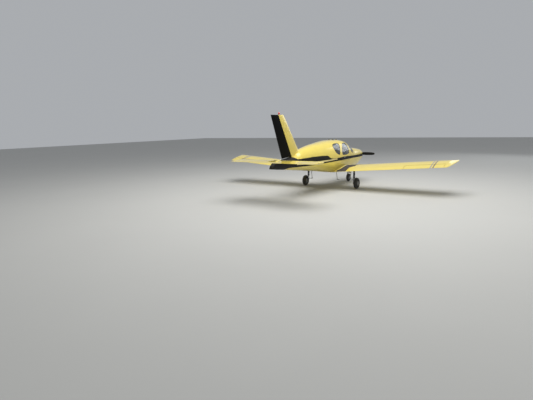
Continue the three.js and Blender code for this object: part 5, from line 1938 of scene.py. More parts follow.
@dataclass
class Propeller:
    """The spinner, hub and two blades, which turn on the crankshaft."""

    station: float = 0.240
    height: float = SHAFT_HEIGHT
    spinner_radius: float = 0.165
    spinner_length: float = 0.300
    spinner_base: float = 0.312
    hub_radius: float = 0.092
    rows: tuple[tuple[float, ...], ...] = (  # radius, chord, thickness, pitch in degrees
        (0.080, 0.094, 0.062, 50.0), (0.150, 0.100, 0.054, 44.0), (0.250, 0.138, 0.033, 36.0),
        (0.520, 0.149, 0.0205, 24.0), (0.800, 0.127, 0.0125, 17.0), (0.880, 0.106, 0.0095, 15.4),
        (0.920, 0.078, 0.0068, 14.7), (0.936, 0.046, 0.0045, 14.2), (0.940, 0.016, 0.0030, 14.0),
    )

    def show(self, name: str, shape: Shape, finish: Finish, slot: str, replaces: Sequence[str] = ()) -> None:
        """Makes a piece that turns with the propeller."""
        shown(name, shape, finish, replaces, "propeller")

    def blade(self) -> Shape:
        """The port blade: sections that go from round at the hub to thin and flat-backed.

        A section's half thickness is that of a wing section, blended near the hub with an ellipse;
        it is turned by its pitch, with its leading edge ahead and up.
        """
        table = np.array(self.rows)
        radius = np.concatenate([np.linspace(0.080, 0.880, 34), np.linspace(0.890, 0.940, 12)])
        chord, thick, pitch = (monotone(table[:, 0], table[:, k], radius)[:, None] for k in (1, 2, 3))
        a = around(40)[None]
        along = 0.5 * (1 + np.cos(a))  # 1 at the leading edge
        rear = 1 - along
        wing = np.sqrt(rear) * (1 - rear) * 2.0 * np.where(np.sin(a) > 0, 0.62, -0.20) + np.where(
            np.sin(a) > 0, 0.03, -0.03)
        ellipse = 0.5 * np.sin(a)
        blend = np.clip((0.26 - radius[:, None]) / 0.12, 0, 1)
        u = chord * (along - 0.5)
        v = thick * np.clip(blend * ellipse + (1 - blend) * wing, -0.5, 0.5)
        p = np.radians(pitch)
        rings = np.stack([
            np.broadcast_to(radius[:, None], u.shape),
            self.station + FIRST_STATION - u * np.sin(p) - v * np.cos(p),
            self.height + u * np.cos(p) - v * np.sin(p),
        ], -1)
        return loft(rings)

    def spinner(self) -> Shape:
        """The spinner's skin: r = R sin(t pi/2)^0.8 at 300 (1 - cos(t pi/2)) mm, then a rolled rim."""
        t = np.linspace(0, 1, 40) * math.pi / 2
        nose = [(self.spinner_radius * math.sin(a) ** 0.8, self.spinner_length * (1 - math.cos(a))) for a in t]
        r, end = self.spinner_radius, self.spinner_base
        rim = [(r, end - 0.010), (r - 0.0012, end - 0.009), (r - 0.0012, end - 0.0075), (r, end - 0.0065),
               (r, end - 0.002), (r - 0.002, end), (0.10, end), (0.10, end - 0.004), (0, end - 0.004)]
        return turned_profile([*nose, *rim], 72, at(0, 0, self.height), AFT)

    def seals(self) -> Shape:
        """An oval rubber plate round each blade where it leaves the spinner."""
        t = around(48)
        p = math.radians(44.0)
        u, v = 0.062 * np.cos(t), 0.036 * np.sin(t)
        rows = []
        for scale, lift in ((1.0, -0.004), (1.0, 0.0012), (0.93, 0.0022), (0.80, 0.0022), (0.80, -0.004)):
            y = -scale * (u * math.sin(p) + v * math.cos(p))
            z = scale * (u * math.cos(p) - v * math.sin(p))
            turn = np.arccos(np.clip(1 - (self.station + y) / self.spinner_length, -1, 1))
            skin = self.spinner_radius * np.sin(np.clip(turn, 0.05, math.pi / 2)) ** 0.8
            x = np.sqrt(np.maximum(skin**2 - z**2, 0)) + lift
            rows.append(np.stack([x, self.station + FIRST_STATION + y, self.height + z], 1))
        port = outward(loft(np.array(rows + rows[:1]), (False, False)))
        return joined(port, port.turned(AFT, 180, at(0, 0, self.height)))

    def build(self) -> None:
        """Makes the blades, the hub with its bolts, the spinner and its screws."""
        middle = at(0, self.station, self.height)
        port = self.blade()
        blades = joined(port, port.turned(AFT, 180, middle))
        self.show("propeller_blades", blades, PROP_PAINT, "blade_paint", ["propeller"])
        hub = turned_profile([(0, -0.050), (0.070, -0.050), (0.078, -0.042), (self.hub_radius, -0.030),
                              (self.hub_radius, 0.040), (0.080, 0.050), (0.080, 0.060), (0, 0.060)],
                             48, middle, AFT)
        shanks = both(rod((0.05, middle[1], middle[2]), (0.104, middle[1], middle[2]), 0.043, 0.040, 32, 0.004))
        self.show("propeller_hub", joined(hub, shanks), CAST_ALLOY, "blade_paint")
        nuts = ring_of(bolt(0.009, 0.010), 6, 0.058, at(0, self.station + 0.060, self.height), AFT, 0.5)
        self.show("propeller_hub_nuts", nuts, BRIGHT_BOLT, "blade_paint")
        self.show("spinner_skin", self.spinner(), BLACK_PAINT, "black_paint", ["spinner"])
        self.show("spinner_blade_seals", self.seals(), SEAL_RUBBER, "black_paint")
        t = around(12) + 0.26
        out = np.stack([np.cos(t), 0 * t, np.sin(t)], 1)
        places = np.array(at(0, 0.296, self.height)) + (self.spinner_radius - 0.0002) * out
        screw = turned_profile([(0, -0.001), (0.0052, -0.001), (0.0044, 0.0012), (0.0016, 0.0014),
                                (0.0012, 0.0006), (0, 0.0006)], 12)
        self.show("spinner_screws", scattered(screw, places, out), BRIGHT_BOLT, "black_paint")


@dataclass
class Engine:
    """The flat four engine that shows through the cowling's openings, and its exhaust pipe."""

    cylinders: tuple[tuple[float, float], ...] = ((1, 0.650), (1, 0.866), (-1, 0.640), (-1, 0.856))
    shaft: float = 0.030

    def cylinder(self, side: float, station: float) -> Shape:
        """A finned barrel and head: the profile's radius goes in and out along the bore."""
        steps = np.arange(15)
        out = 0.128 + 0.0088 * steps
        wide = np.where(steps < 9, 0.082, 0.098)
        core = np.where(steps < 9, 0.062, 0.078)
        rows = np.stack([core, out, wide, out + 0.0006, wide, out + 0.0030, core, out + 0.0036], 1).reshape(-1, 2)
        profile = [(0, 0.110), (0.070, 0.110), (0.070, 0.127), *map(tuple, rows), (0.070, 0.262), (0.070, 0.288),
                   (0.060, 0.296), (0, 0.296)]
        barrel = turned_profile(profile, 26, at(0, station, SHAFT_HEIGHT), (side, 0, 0))
        cover = brick(at(0.286, station - 0.052, SHAFT_HEIGHT - 0.060),
                      at(0.3185, station + 0.052, SHAFT_HEIGHT + 0.060), 0.012)
        return joined(barrel, cover if side > 0 else cover.mirrored())

    def show(self, name: str, shape: Shape, finish: Finish = DULL_STEEL, slot: str = "engine_metal",
             replaces: Sequence[str] = ()) -> None:
        """Makes a piece of the engine."""
        shown(name, shape, finish, replaces)

    def build(self) -> None:
        """Makes the crankcase, cylinders, sump, mount and the pipe under them."""
        z = SHAFT_HEIGHT
        case = joined(
            brick(at(-0.115, 0.560, z - 0.110), at(0.115, 0.985, z + 0.112), 0.025),
            brick(at(-0.012, 0.550, z - 0.120), at(0.012, 0.990, z + 0.122), 0.004),
            turned_profile([(0, 0), (0.095, 0), (0.105, 0.012), (0.105, 0.030), (0.070, 0.050), (0.070, 0.075),
                            (0, 0.075)], 40, at(0, 0.522, z), AFT),
            brick(at(-0.130, 0.600, 1.0600), at(0.130, 0.960, z - 0.095), 0.020),
        )
        self.show("engine_case", case, ENGINE_METAL, replaces=["engine_block"])
        self.show("engine_cylinders", joined(*(self.cylinder(side, station) for side, station in self.cylinders)))
        shaft = joined(
            rod(at(0, 0.2605, z), at(0, 0.530, z), self.shaft, sides=36),
            turned_profile([(self.shaft, 0), (0.074, 0), (0.074, 0.012), (self.shaft, 0.018)], 48,
                           at(0, 0.3185, z), AFT))
        self.show("engine_crankshaft", shaft)
        mounts = []
        for side in (-1, 1):
            for up in (0, 1):
                near, far = at(side * 0.200, 0.975, 1.100 + up * 0.220), at(side * 0.258, 1.3295, 1.060 + up * 0.292)
                mounts += [rod(near, far, 0.0135), rod(at(side * 0.110, 0.960, 1.130 + up * 0.160), near, 0.016)]
                back = np.array(far) - near
                back = tuple(np.array(near) + 0.06 * back / np.linalg.norm(back))
                mounts.append(rod(near, back, 0.026, sides=28, round_by=0.004))
        self.show("engine_mount", joined(*mounts), DARK_GREY)
        s = np.linspace(0, 1, 18)[:, None]
        shares = np.hstack([(1 - s) ** 3, 3 * s * (1 - s) ** 2, 3 * s**2 * (1 - s), s**3])
        harness = [pipe(shares @ np.array([
            at(side * 0.10, 0.93, z + 0.10), at(side * 0.15, station + 0.06, z + 0.135),
            at(side * 0.24, station + 0.02, z + 0.125), at(side * 0.275, station, z + 0.100)]), 0.0045, 10)
            for side, station in self.cylinders]
        self.show("engine_ignition_leads", joined(*harness), SEAL_RUBBER)
        self.exhaust()

    def exhaust(self) -> None:
        """The pipe: down from the sump side, aft and out under the cowling, open at its end.

        Its centre line is a smooth curve through nine points; its wall turns inside at the end.
        """
        x = 0.160
        curve, _ = smoothed(np.array([at(x, *place) for place in (
            (0.960, 1.052), (0.962, 1.010), (1.000, 1.006), (1.075, 1.008), (1.112, 0.970), (1.150, 0.815),
            (1.182, 0.690), (1.215, 0.632), (1.262, 0.556))]), 46)
        tube = open_tube(curve, np.full(46, 0.0235), 0.0205, 12, 30)
        self.show("exhaust_tube", tube, SOOTY_STEEL, "exhaust_metal", ["exhaust_pipe"])
        self.show("exhaust_clamp", pipe([curve[31], curve[33]], 0.0265, 30), slot="exhaust_metal")
        flange = turned_profile(band(0.0225, 0.036, 0.006), 30, at(x, 0.960, 1.046))
        self.show("exhaust_flange", flange, slot="exhaust_metal")


# ---- Landing gear


@dataclass
class Wheel:
    """A wheel and its tyre about an axle along X, drawn about the origin and then put in place."""

    name: str
    middle: Point
    radius: float
    width: float
    rim: float
    body: str
    nodes: tuple[str, str]
    gap: float = 0.0003
    hub: float = 0.0173
    grooves: int = 5
    bolts: int = 6
    facing: float = 1.0

    @property
    def bead(self) -> float:
        """Half the width between the tyre's beads."""
        return self.width / 2 - 0.014

    def tyre(self) -> Shape:
        """The tyre: r = rim + 14 + depth sin(a)^0.75 across the width, with grooves round the tread,
        a rib on each shoulder, and the beads drawn in to the rim."""
        depth = self.radius - self.rim - 0.014
        a = np.concatenate([np.linspace(0, 0.32, 7), np.linspace(0.32, np.pi - 0.32, 130)[1:-1],
                            np.linspace(np.pi - 0.32, np.pi, 7)])
        across = -self.width / 2 * np.cos(a)
        r = self.rim + 0.014 + depth * np.sin(a) ** 0.75
        tread = 0.36 * self.width
        pitch = 2 * tread / (self.grooves + 1)
        phase = (across + tread) / pitch
        near = np.abs(phase - np.round(phase)) * pitch
        cut = (near < 0.0045) & (np.round(phase) >= 1) & (np.round(phase) <= self.grooves) & (np.abs(across) < tread)
        r = r - np.where(cut, 0.006 * (1 - (near / 0.0045) ** 4), 0)
        side = np.abs(np.abs(across) - 0.455 * self.width)
        r = np.minimum(r + np.where(side < 0.003, 0.0016 * (1 - (side / 0.003) ** 2), 0), self.radius)
        g = self.gap
        profile = [(self.rim + g, -self.bead), *zip(r.tolist(), across.tolist()), (self.rim + g, self.bead)]
        return turned_profile(profile, 96, (0, 0, 0), LEVEL)

    def sidewall_bars(self) -> Shape:
        """Low moulded bars round each sidewall."""
        bar = brick((-0.0012, -0.010, -0.0006), (0.0012, 0.010, 0.0010), 0.0004)
        r = self.rim + 0.45 * (self.radius - self.rim)
        share = ((r - self.rim - 0.014) / (self.radius - self.rim - 0.014)) ** (1 / 0.75)
        out = self.width / 2 * math.sqrt(1 - share**2)
        return joined(*(ring_of(bar, 48, r, (side * out, 0, 0), (side, 0, 0)) for side in (-1, 1)))

    def disc(self) -> Shape:
        """The wheel: two dished halves with a flanged rim, bored for the axle's bearing."""
        face, rim, bead, hub = self.bead - 0.016, self.rim, self.bead, self.hub
        half = [(hub, face + 0.008), (0.030, face + 0.008), (0.034, face + 0.004), (0.044, face + 0.004),
                (0.048, face - 0.004), (0.6 * rim, face - 0.010), (rim - 0.018, face - 0.006),
                (rim - 0.010, face + 0.002), (rim - 0.007, bead - 0.004), (rim - 0.004, bead), (rim, bead),
                (rim, bead - 0.006), (rim - 0.004, bead - 0.010), (rim - 0.004, 0.0)]
        mirror = [(r, -x) for r, x in half[::-1]]
        return turned_profile([*half, *mirror[1:]], 72, (0, 0, 0), LEVEL)

    def build(self) -> None:
        """Makes the tyre, the wheel, its bolts, vents and valve; each vent is a rim round a dark disc, painted shade
        where the hole would be.
        """
        face = self.bead - 0.016

        def put(name: str, shape: Shape, finish: Finish, replaces: Sequence[str] = ()) -> None:
            """Makes one piece of the wheel in its place."""
            shown(f"{self.name}_{name}", shape.moved(self.middle), finish, replaces, self.body)

        put("tread", self.tyre(), TYRE_RUBBER, [self.nodes[0]])
        put("sidewall_bars", self.sidewall_bars(), TYRE_RUBBER)
        put("halves", self.disc(), CAST_ALLOY, [self.nodes[1]])
        pitch = 0.5 * (0.048 + self.rim - 0.018)
        depth = face - 0.0105 + 0.0035 * (pitch < 0.05)
        dish = turned_profile([(0.0105, 0.0004), (0.0105, 0.0018), (0.0085, 0.0022), (0.0070, 0.0004)], 20)
        # A thin dark disc in each vent rim: painted shade standing for an open hole, which the solid wheel halves lack.
        vent_hole_shade = turned_profile([(0, -0.001), (0.0075, -0.001), (0.0075, 0.0005), (0, 0.0005)], 20)
        for name, shape, start, finish in (("bolts", bolt(0.0055, 0.006), 0.0, BRIGHT_BOLT),
                                           ("vent_rims", dish, math.pi / self.bolts, CAST_ALLOY),
                                           ("vent_hole_painted_shade", vent_hole_shade, math.pi / self.bolts, SEAL_RUBBER)):
            put(name, joined(*(ring_of(shape, self.bolts, pitch, (side * depth, 0, 0), (side, 0, 0), start)
                               for side in (-1, 1))), finish)
        valve = rod((self.facing * (face - 0.006), 0, self.rim - 0.016),
                    (self.facing * (face + 0.016), 0, self.rim - 0.020), 0.0032, 0.0026, 12)
        put("valve", valve, SEAL_RUBBER)


@dataclass
class MainLeg:
    """One main leg, drawn to port: a fixed cylinder, a sliding piston, links, axle and brake."""

    side: Side
    across: float = 1.036
    station: float = 2.920
    track: float = 1.165
    axle_station: float = 2.960
    axle_height: float = 0.2225
    top: float = 0.775
    collar: float = 0.430

    def show(self, name: str, shape: Shape, finish: Finish, replaces: Sequence[str] = ()) -> None:
        """Makes a piece of this leg, which is fixed to the airframe."""
        shown(f"main_leg_{name}_{self.side.word}", shape.on(self.side), finish, replaces)

    def build(self) -> None:
        """Makes the leg from the wing down to the axle's nut."""
        x, s, a, h = self.across, self.station, self.axle_station, self.axle_height
        outer = turned_profile([(0, 0), (0.0335, 0), (0.0375, 0.004), (0.0375, 0.030), (0.0335, 0.034), (0.0335, 0.150),
                                (0.0365, 0.154), (0.0365, 0.176), (0.0335, 0.180), (0.0335, 0.262), (0.0380, 0.272),
                                (0.0380, self.top - self.collar), (0, self.top - self.collar)],
                               40, at(x, s, self.collar))
        self.show("cylinder", outer, DARK_GREY, [f"main_leg_{self.side.word}"])
        self.show("piston", rod(at(x, s, 0.296), at(x, s, 0.436), 0.0255, sides=36), CHROME)
        self.show("wiper_ring", turned_profile(band(0.025, 0.031, 0.008), 36, at(x, s, 0.4225)), SEAL_RUBBER)
        knee, hub = np.array(at(x, s, 0.300)), np.array(at(x, a, h))
        sweep = np.linspace(0, 1, 12)[:, None]
        line = knee + (hub - knee) * sweep + np.array([0, -0.006, 0]) * np.sin(np.pi * sweep)
        arm = pipe(line, 0.0245 - 0.003 * np.sin(np.pi * sweep[:, 0]), 28)
        boss = rod(at(x - 0.024, a, h), at(x + 0.026, a, h), 0.028, sides=36, round_by=0.004)
        lower = turned_profile([(0, 0), (0.026, 0.0), (0.030, 0.006), (0.030, 0.022), (0.026, 0.028), (0, 0.028)], 36,
                               at(x, s, 0.284))
        self.show("axle_arm", joined(arm, boss, lower), DARK_GREY)
        self.show("axle", rod(at(x - 0.022, a, h), at(self.track + 0.068, a, h), 0.0170, sides=30), BRIGHT_BOLT)
        self.show("axle_nut", stood(bolt(0.0155, 0.008), at(self.track + 0.0585, a, h), LEVEL), BRIGHT_BOLT)
        self.links(x, s)
        self.brake(x, a)

    def links(self, x: float, s: float) -> None:
        """The torque links behind the piston: two flat forks hinged at their ends and middle."""
        pins = [at(0, s + 0.036, 0.445), at(0, s + 0.092, 0.368), at(0, s + 0.036, 0.306)]
        arms = []
        spreads = (0.016, 0.008, 0.016)
        for k in (0, 1):
            for side in (-1, 1):
                ends = (np.array(pins[i]) + (x + side * spreads[i], 0, 0) for i in (k, k + 1))
                arms.append(rod(*ends, 0.0062, sides=14))
        lugs = [rod((x - 0.022, y, z), (x + 0.022, y, z), 0.0082, sides=20) for _, y, z in pins]
        webs = [brick((x - 0.010, y - 0.026, z - 0.010), (x + 0.010, y, z + 0.010), 0.003) for _, y, z in pins[::2]]
        self.show("torque_links", joined(*arms, *lugs, *webs), DARK_GREY)
        heads = [stood(bolt(0.006, 0.004), (x + side * 0.0215, y, z), (side, 0, 0)) for _, y, z in pins
                 for side in (-1, 1)]
        self.show("link_bolts", joined(*heads), BRIGHT_BOLT)

    def brake(self, x: float, a: float) -> None:
        """The brake hose down the leg, fixed by clips."""
        path = np.array([at(x + 0.040, self.station + 0.004, 0.700), at(x + 0.042, self.station + 0.006, 0.560),
                         at(x + 0.040, self.station + 0.010, 0.440), at(x + 0.036, self.station + 0.020, 0.360),
                         at(x + 0.030, self.station + 0.026, 0.310), at(x + 0.024, a + 0.004, 0.262)])
        self.show("brake_hose", pipe(smoothed(path, 34)[0], 0.0045, 12), SEAL_RUBBER)
        clips = [turned_profile(band(0.0372, 0.0386, 0.010), 40, at(x, self.station, z)) for z in (0.500, 0.640)]
        self.show("hose_clips", joined(*clips), BRIGHT_BOLT)


@dataclass
class NoseGear:
    """The nose leg with its braces, and the steered fork with its piston, arms and axle."""

    top: Point = (0.0, 1.100, 0.900)
    collar: Point = (0.0, 1.003, 0.640)
    foot: Point = (0.0, 0.905, 0.405)
    wheel: Point = (0.0, 1.000, 0.1805)
    arm_across: float = 0.0895

    @property
    def axis(self) -> Array:
        """Unit direction of the steering axis, from the foot up."""
        line = np.array(self.top) - self.foot
        return line / np.linalg.norm(line)

    def show(self, name: str, shape: Shape, finish: Finish, replaces: Sequence[str] = (),
             body: str = "nose_fork") -> None:
        """Makes a piece of the nose gear, which steers unless another body is given."""
        shown(name, shape, finish, replaces, body)

    def build(self) -> None:
        """Makes the fixed leg, then what turns with the wheel."""
        self.leg()
        self.fork()

    def leg(self) -> None:
        """The outer cylinder, its collars and the two braces to the firewall."""
        top, collar = np.array(at(*self.top)), np.array(at(*self.collar))
        length = float(np.linalg.norm(top - collar))
        low = np.array(at(0.0, 0.985, 0.596))
        axis = top - collar
        bore = 0.0274
        profile = [(bore, 0), (0.036, 0), (0.040, 0.004), (0.040, 0.030), (0.036, 0.034), (0.036, 0.11), (0.040, 0.114),
                   (0.040, 0.136), (0.036, 0.140), (0.036, length - 0.030), (0.040, length - 0.024), (0.040, length),
                   (bore, length)]
        tube = turned_profile(profile, 44, collar, axis)
        drop = float(np.linalg.norm(collar - low))
        lower = turned_profile([(bore, 0), (0.042, 0), (0.046, 0.004), (0.046, 0.016), (0.041, 0.020),
                                (0.041, drop + 0.002), (bore, drop + 0.002)], 44, low, collar - low)
        braces = both(rod(at(0.150, 1.3292, 0.930), at(0.010, 1.103, 0.883), 0.0145, sides=24))
        feet = both(turned_profile([(0, 0), (0.022, 0), (0.022, 0.008), (0.016, 0.014), (0, 0.014)], 24,
                                   at(0.150, 1.3295, 0.930), (0, -1, 0)))
        self.show("nose_leg_cylinder", joined(tube, lower, braces, feet), OFF_WHITE, ["nose_leg"], "airframe")

    def fork(self) -> None:
        """The piston, crown, arms and axle, which steer, with a nut at each end of the axle."""
        foot = np.array(at(*self.foot))
        x, (_, axle_y, axle_z) = self.arm_across, at(*self.wheel)
        length = float(np.linalg.norm(np.array(self.top) - self.foot))
        piston = rod(foot, foot + self.axis * (length - 0.062), 0.0270, sides=40)
        self.show("nose_fork_piston", piston, CHROME)
        end = x + 0.014
        a = np.linspace(-1, 1, 21)
        crown_line = np.stack([end * a, foot[1] + 0 * a, foot[2] - 0.004 * a**2], 1)
        crown = pipe(crown_line, 0.0255 - 0.006 * np.abs(a) ** 6, 32)
        cuff = turned_profile([(0, -0.020), (0.032, -0.020), (0.034, 0.0), (0.034, 0.030), (0.030, 0.040), (0, 0.040)],
                              40, foot, self.axis)
        s = np.linspace(0, 1, 16)
        arms = []
        for side in (-1, 1):
            line = np.stack([side * x + 0 * s, foot[1] + (axle_y - foot[1]) * s, foot[2] + (axle_z - foot[2]) * s], 1)
            arms.append(pipe(line, 0.0195 - 0.0035 * s, 28))
            arms.append(turned_profile([(0, -0.012), (0.022, -0.012), (0.024, -0.008), (0.024, 0.008), (0.022, 0.012),
                                        (0, 0.012)], 32, (side * x, axle_y, axle_z), LEVEL))
        self.show("nose_fork_arms", joined(crown, cuff, *arms), OFF_WHITE, ["nose_fork"])
        axle = rod((-x - 0.016, axle_y, axle_z), (x + 0.016, axle_y, axle_z), 0.0170, sides=30)
        nuts = [stood(bolt(0.0145, 0.004), (side * (x + 0.0155), axle_y, axle_z), (side, 0, 0)) for side in (-1, 1)]
        self.show("nose_fork_axle", joined(axle, *nuts), BRIGHT_BOLT)


def landing_gear() -> None:
    """Makes the legs and the three wheels."""
    for side in Side:
        leg, name = MainLeg(side), f"main_wheel_{side.word}"
        leg.build()
        middle = at(side.value * leg.track, leg.axle_station, leg.axle_height)
        Wheel(name, middle, leg.axle_height, 0.160, 0.100, name, (f"main_tyre_{side.word}", name),
              facing=float(side.value)).build()
    NoseGear().build()
    Wheel("nose_wheel", at(0.0, 1.000, 0.1805), 0.1805, 0.127, 0.074, "nose_wheel", ("nose_tyre", "nose_wheel"),
          grooves=4, bolts=5).build()


# ---- Cabin

PAD_STEPS = 41       # points each way over a cushion's block
CLOTH_FRAMES = 20    # how long the cloth solver runs


def places_of(mesh: bpy.types.Mesh) -> Array:
    """A mesh's points, n x 3."""
    flat = np.empty(len(mesh.vertices) * 3)
    mesh.vertices.foreach_get("co", flat)
    return flat.reshape(-1, 3)


@dataclass
class Pad:
    """A stuffed cushion in its own axes: u across, v along and w out of the padded face.

    It starts as a rounded block whose face is crowned by (1 - u^4)(1 - v^4), is blown up as cloth
    with its back held, and then gets its sewn channels, each a groove exp(-(d / w)^2) deep.
    """

    name: str
    middle: Point
    half: Point
    lean: float
    slot: str = "seat_cloth"
    replaces: tuple[str, ...] = ()
    crown: float = 0.016
    corner: float = 0.030
    taper: float = 0.0
    voxel: float = 0.0085
    pressure: float = 4.0
    most: float = 0.022
    channels: tuple[float, ...] = (-0.33, 0.0, 0.33)
    splits: tuple[float, ...] = ()
    depth: float = 0.009
    wide: float = 0.010

    def start(self) -> Shape:
        """The block that the cushion is blown up from."""
        hu, hv, hw = self.half
        steps = np.linspace(-1, 1, PAD_STEPS)
        uu, vv = np.meshgrid(steps, steps, indexing="ij")
        round_off = 1 - 0.06 * (uu**2) * (vv**2)
        rise = np.clip(1 - np.abs(uu) ** 8, 0, 1) ** 0.35 * np.clip(1 - np.abs(vv) ** 8, 0, 1) ** 0.35
        crown = self.crown * (1 - uu**4) * (1 - vv**4)
        top = np.stack([uu * hu * round_off, vv * hv * round_off, hw * rise + crown], -1)
        low = np.stack([uu * hu * round_off, vv * hv * round_off, -hw * rise], -1)
        faces = grid_faces(PAD_STEPS, PAD_STEPS)
        return outward(welded(Shape(np.concatenate([top.reshape(-1, 3), low.reshape(-1, 3)]),
                                    np.concatenate([faces, faces[:, ::-1] + PAD_STEPS**2])), 1e-6))

    def inflate(self, block: bpy.types.Object, rest: Array) -> Array:
        """Blows a block up with the cloth solver, held at its back and without weight.

        Args:
            block: the remeshed block.
            rest: its points.

        Returns:
            Where the points are after the last frame.
        """
        held = block.vertex_groups.new(name="held")
        held.add(np.nonzero(rest[:, 2] < -0.6 * self.half[2])[0].tolist(), 1.0, "REPLACE")
        cloth = block.modifiers.new("cloth", "CLOTH")
        cloth.settings.use_pressure = True
        cloth.settings.uniform_pressure_force = self.pressure
        cloth.settings.effector_weights.gravity = 0.0
        cloth.settings.vertex_group_mass = "held"
        cloth.settings.quality = 4
        cloth.collision_settings.use_collision = False
        for number in range(1, CLOTH_FRAMES + 1):
            bpy.context.scene.frame_set(number)
        moved = places_of(block.evaluated_get(bpy.context.evaluated_depsgraph_get()).data)
        block.modifiers.clear()
        bpy.context.scene.frame_set(1)
        return moved

    def blown(self, shape: Shape) -> tuple[Array, list[tuple[int, ...]]]:
        """The block remeshed and blown up, with no point moved past a cap.

        Args:
            shape: the block, in the pad's own axes.

        Returns:
            The points and the faces.
        """
        mesh = bpy.data.meshes.new("pad_block")
        new = shape.faces != np.roll(shape.faces, -1, axis=1)
        mesh.from_pydata(shape.points.tolist(), [], [f[k].tolist() for f, k in zip(shape.faces, new)])
        block = linked("pad_block", mesh)
        remesh = block.modifiers.new("remesh", "REMESH")
        remesh.mode, remesh.voxel_size = "VOXEL", self.voxel
        cloth_mesh = bpy.data.meshes.new_from_object(block.evaluated_get(bpy.context.evaluated_depsgraph_get()))
        block.modifiers.clear()
        block.data = cloth_mesh
        rest = places_of(cloth_mesh)
        by = self.inflate(block, rest) - rest
        far = np.linalg.norm(by, axis=1)[:, None]
        points = rest + by * np.minimum(1, self.most / np.maximum(far, 1e-9))
        faces = [tuple(p.vertices) for p in cloth_mesh.polygons]
        bpy.data.objects.remove(block)
        bpy.data.meshes.remove(cloth_mesh)
        bpy.data.meshes.remove(mesh)
        return points, faces

    def sewn(self, points: Array) -> Array:
        """Points with the channels across and the splits along pressed into the padded face."""
        u, v, w = points[:, 0] / self.half[0], points[:, 1] / self.half[1], points[:, 2]
        face = np.clip((w + 0.2 * self.half[2]) / (0.5 * self.half[2]), 0, 1)
        press = np.zeros(len(points))
        for line in self.channels:
            press = np.maximum(press, np.exp(-(((v - line) * self.half[1]) / self.wide) ** 2) * (np.abs(u) < 0.80))
        for line in self.splits:
            press = np.maximum(press, np.exp(-(((u - line) * self.half[0]) / self.wide) ** 2))
        rib = np.exp(-(((np.abs(u) - 0.80) * self.half[0]) / self.wide) ** 2)
        return points - np.outer(self.depth * face * np.maximum(press, rib), (0, 0, 1))

    def axes(self) -> Array:
        """The pad's u, v and w as rows."""
        c, s = math.cos(math.radians(self.lean)), math.sin(math.radians(self.lean))
        return np.array([LEVEL, (0.0, c, s), (0.0, -s, c)])

    def placed(self, points: Array) -> Array:
        """Points of the pad's own axes in the aircraft: leaned back about X, and drawn in at the top."""
        share = np.clip((points[:, 1] / self.half[1] + 1) / 2, 0, 1.1)
        points = points * np.stack([1 - self.taper * share, np.ones(len(points)), np.ones(len(points))], 1)
        return np.array(at(*self.middle)) + points @ self.axes()

    def build(self, mirror: str | None = None, mirror_replaces: tuple[str, ...] = ()) -> None:
        """Makes the cushion and its piping, and the same for the other side.

        Args:
            mirror: name of the other side's cushion, if there is one.
            mirror_replaces: the nodes that it stands for.
        """
        points, faces = self.blown(self.start())
        points = self.placed(self.sewn(points))
        piping = self.piping()
        for name, sign, nodes in ((self.name, 1, self.replaces), (mirror, -1, mirror_replaces)):
            if name is None:
                continue
            mesh = bpy.data.meshes.new(name)
            mesh.from_pydata((points * (sign, 1, 1)).tolist(), [], [f[::sign] for f in faces])
            mesh.polygons.foreach_set("use_smooth", np.ones(len(faces), bool))
            mesh.materials.append(SEAT_CLOTH.build())
            piece = ridden(name, mesh, nodes, "airframe")
            smooth = piece.modifiers.new("smooth", "SUBSURF")
            smooth.levels = smooth.render_levels = 1
            log.info("%s: %d faces, padded", name, len(faces))
            shown(f"{name}_piping", piping.on(Side(sign)), PIPING)

    def piping(self) -> Shape:
        """The cord sewn round the edge of the padded face."""
        hu, hv, hw = self.half
        loop = rounded_ring((hu * 0.985 + 0.006, hv * 0.985 + 0.006), self.corner * 1.4, 8)
        line = self.placed(np.concatenate([loop, np.full((len(loop), 1), 0.35 * hw)], 1))
        step = np.roll(line, -1, axis=0) - np.roll(line, 1, axis=0)
        out = self.axes()[2]
        side = np.cross(step / np.linalg.norm(step, axis=1)[:, None], out)
        sides = 10
        faces = grid_faces(len(line) + 1, sides, wrap=True) % (len(line) * sides)
        return outward(Shape(hoops(line, 0.0045, side, out, sides).reshape(-1, 3), faces))


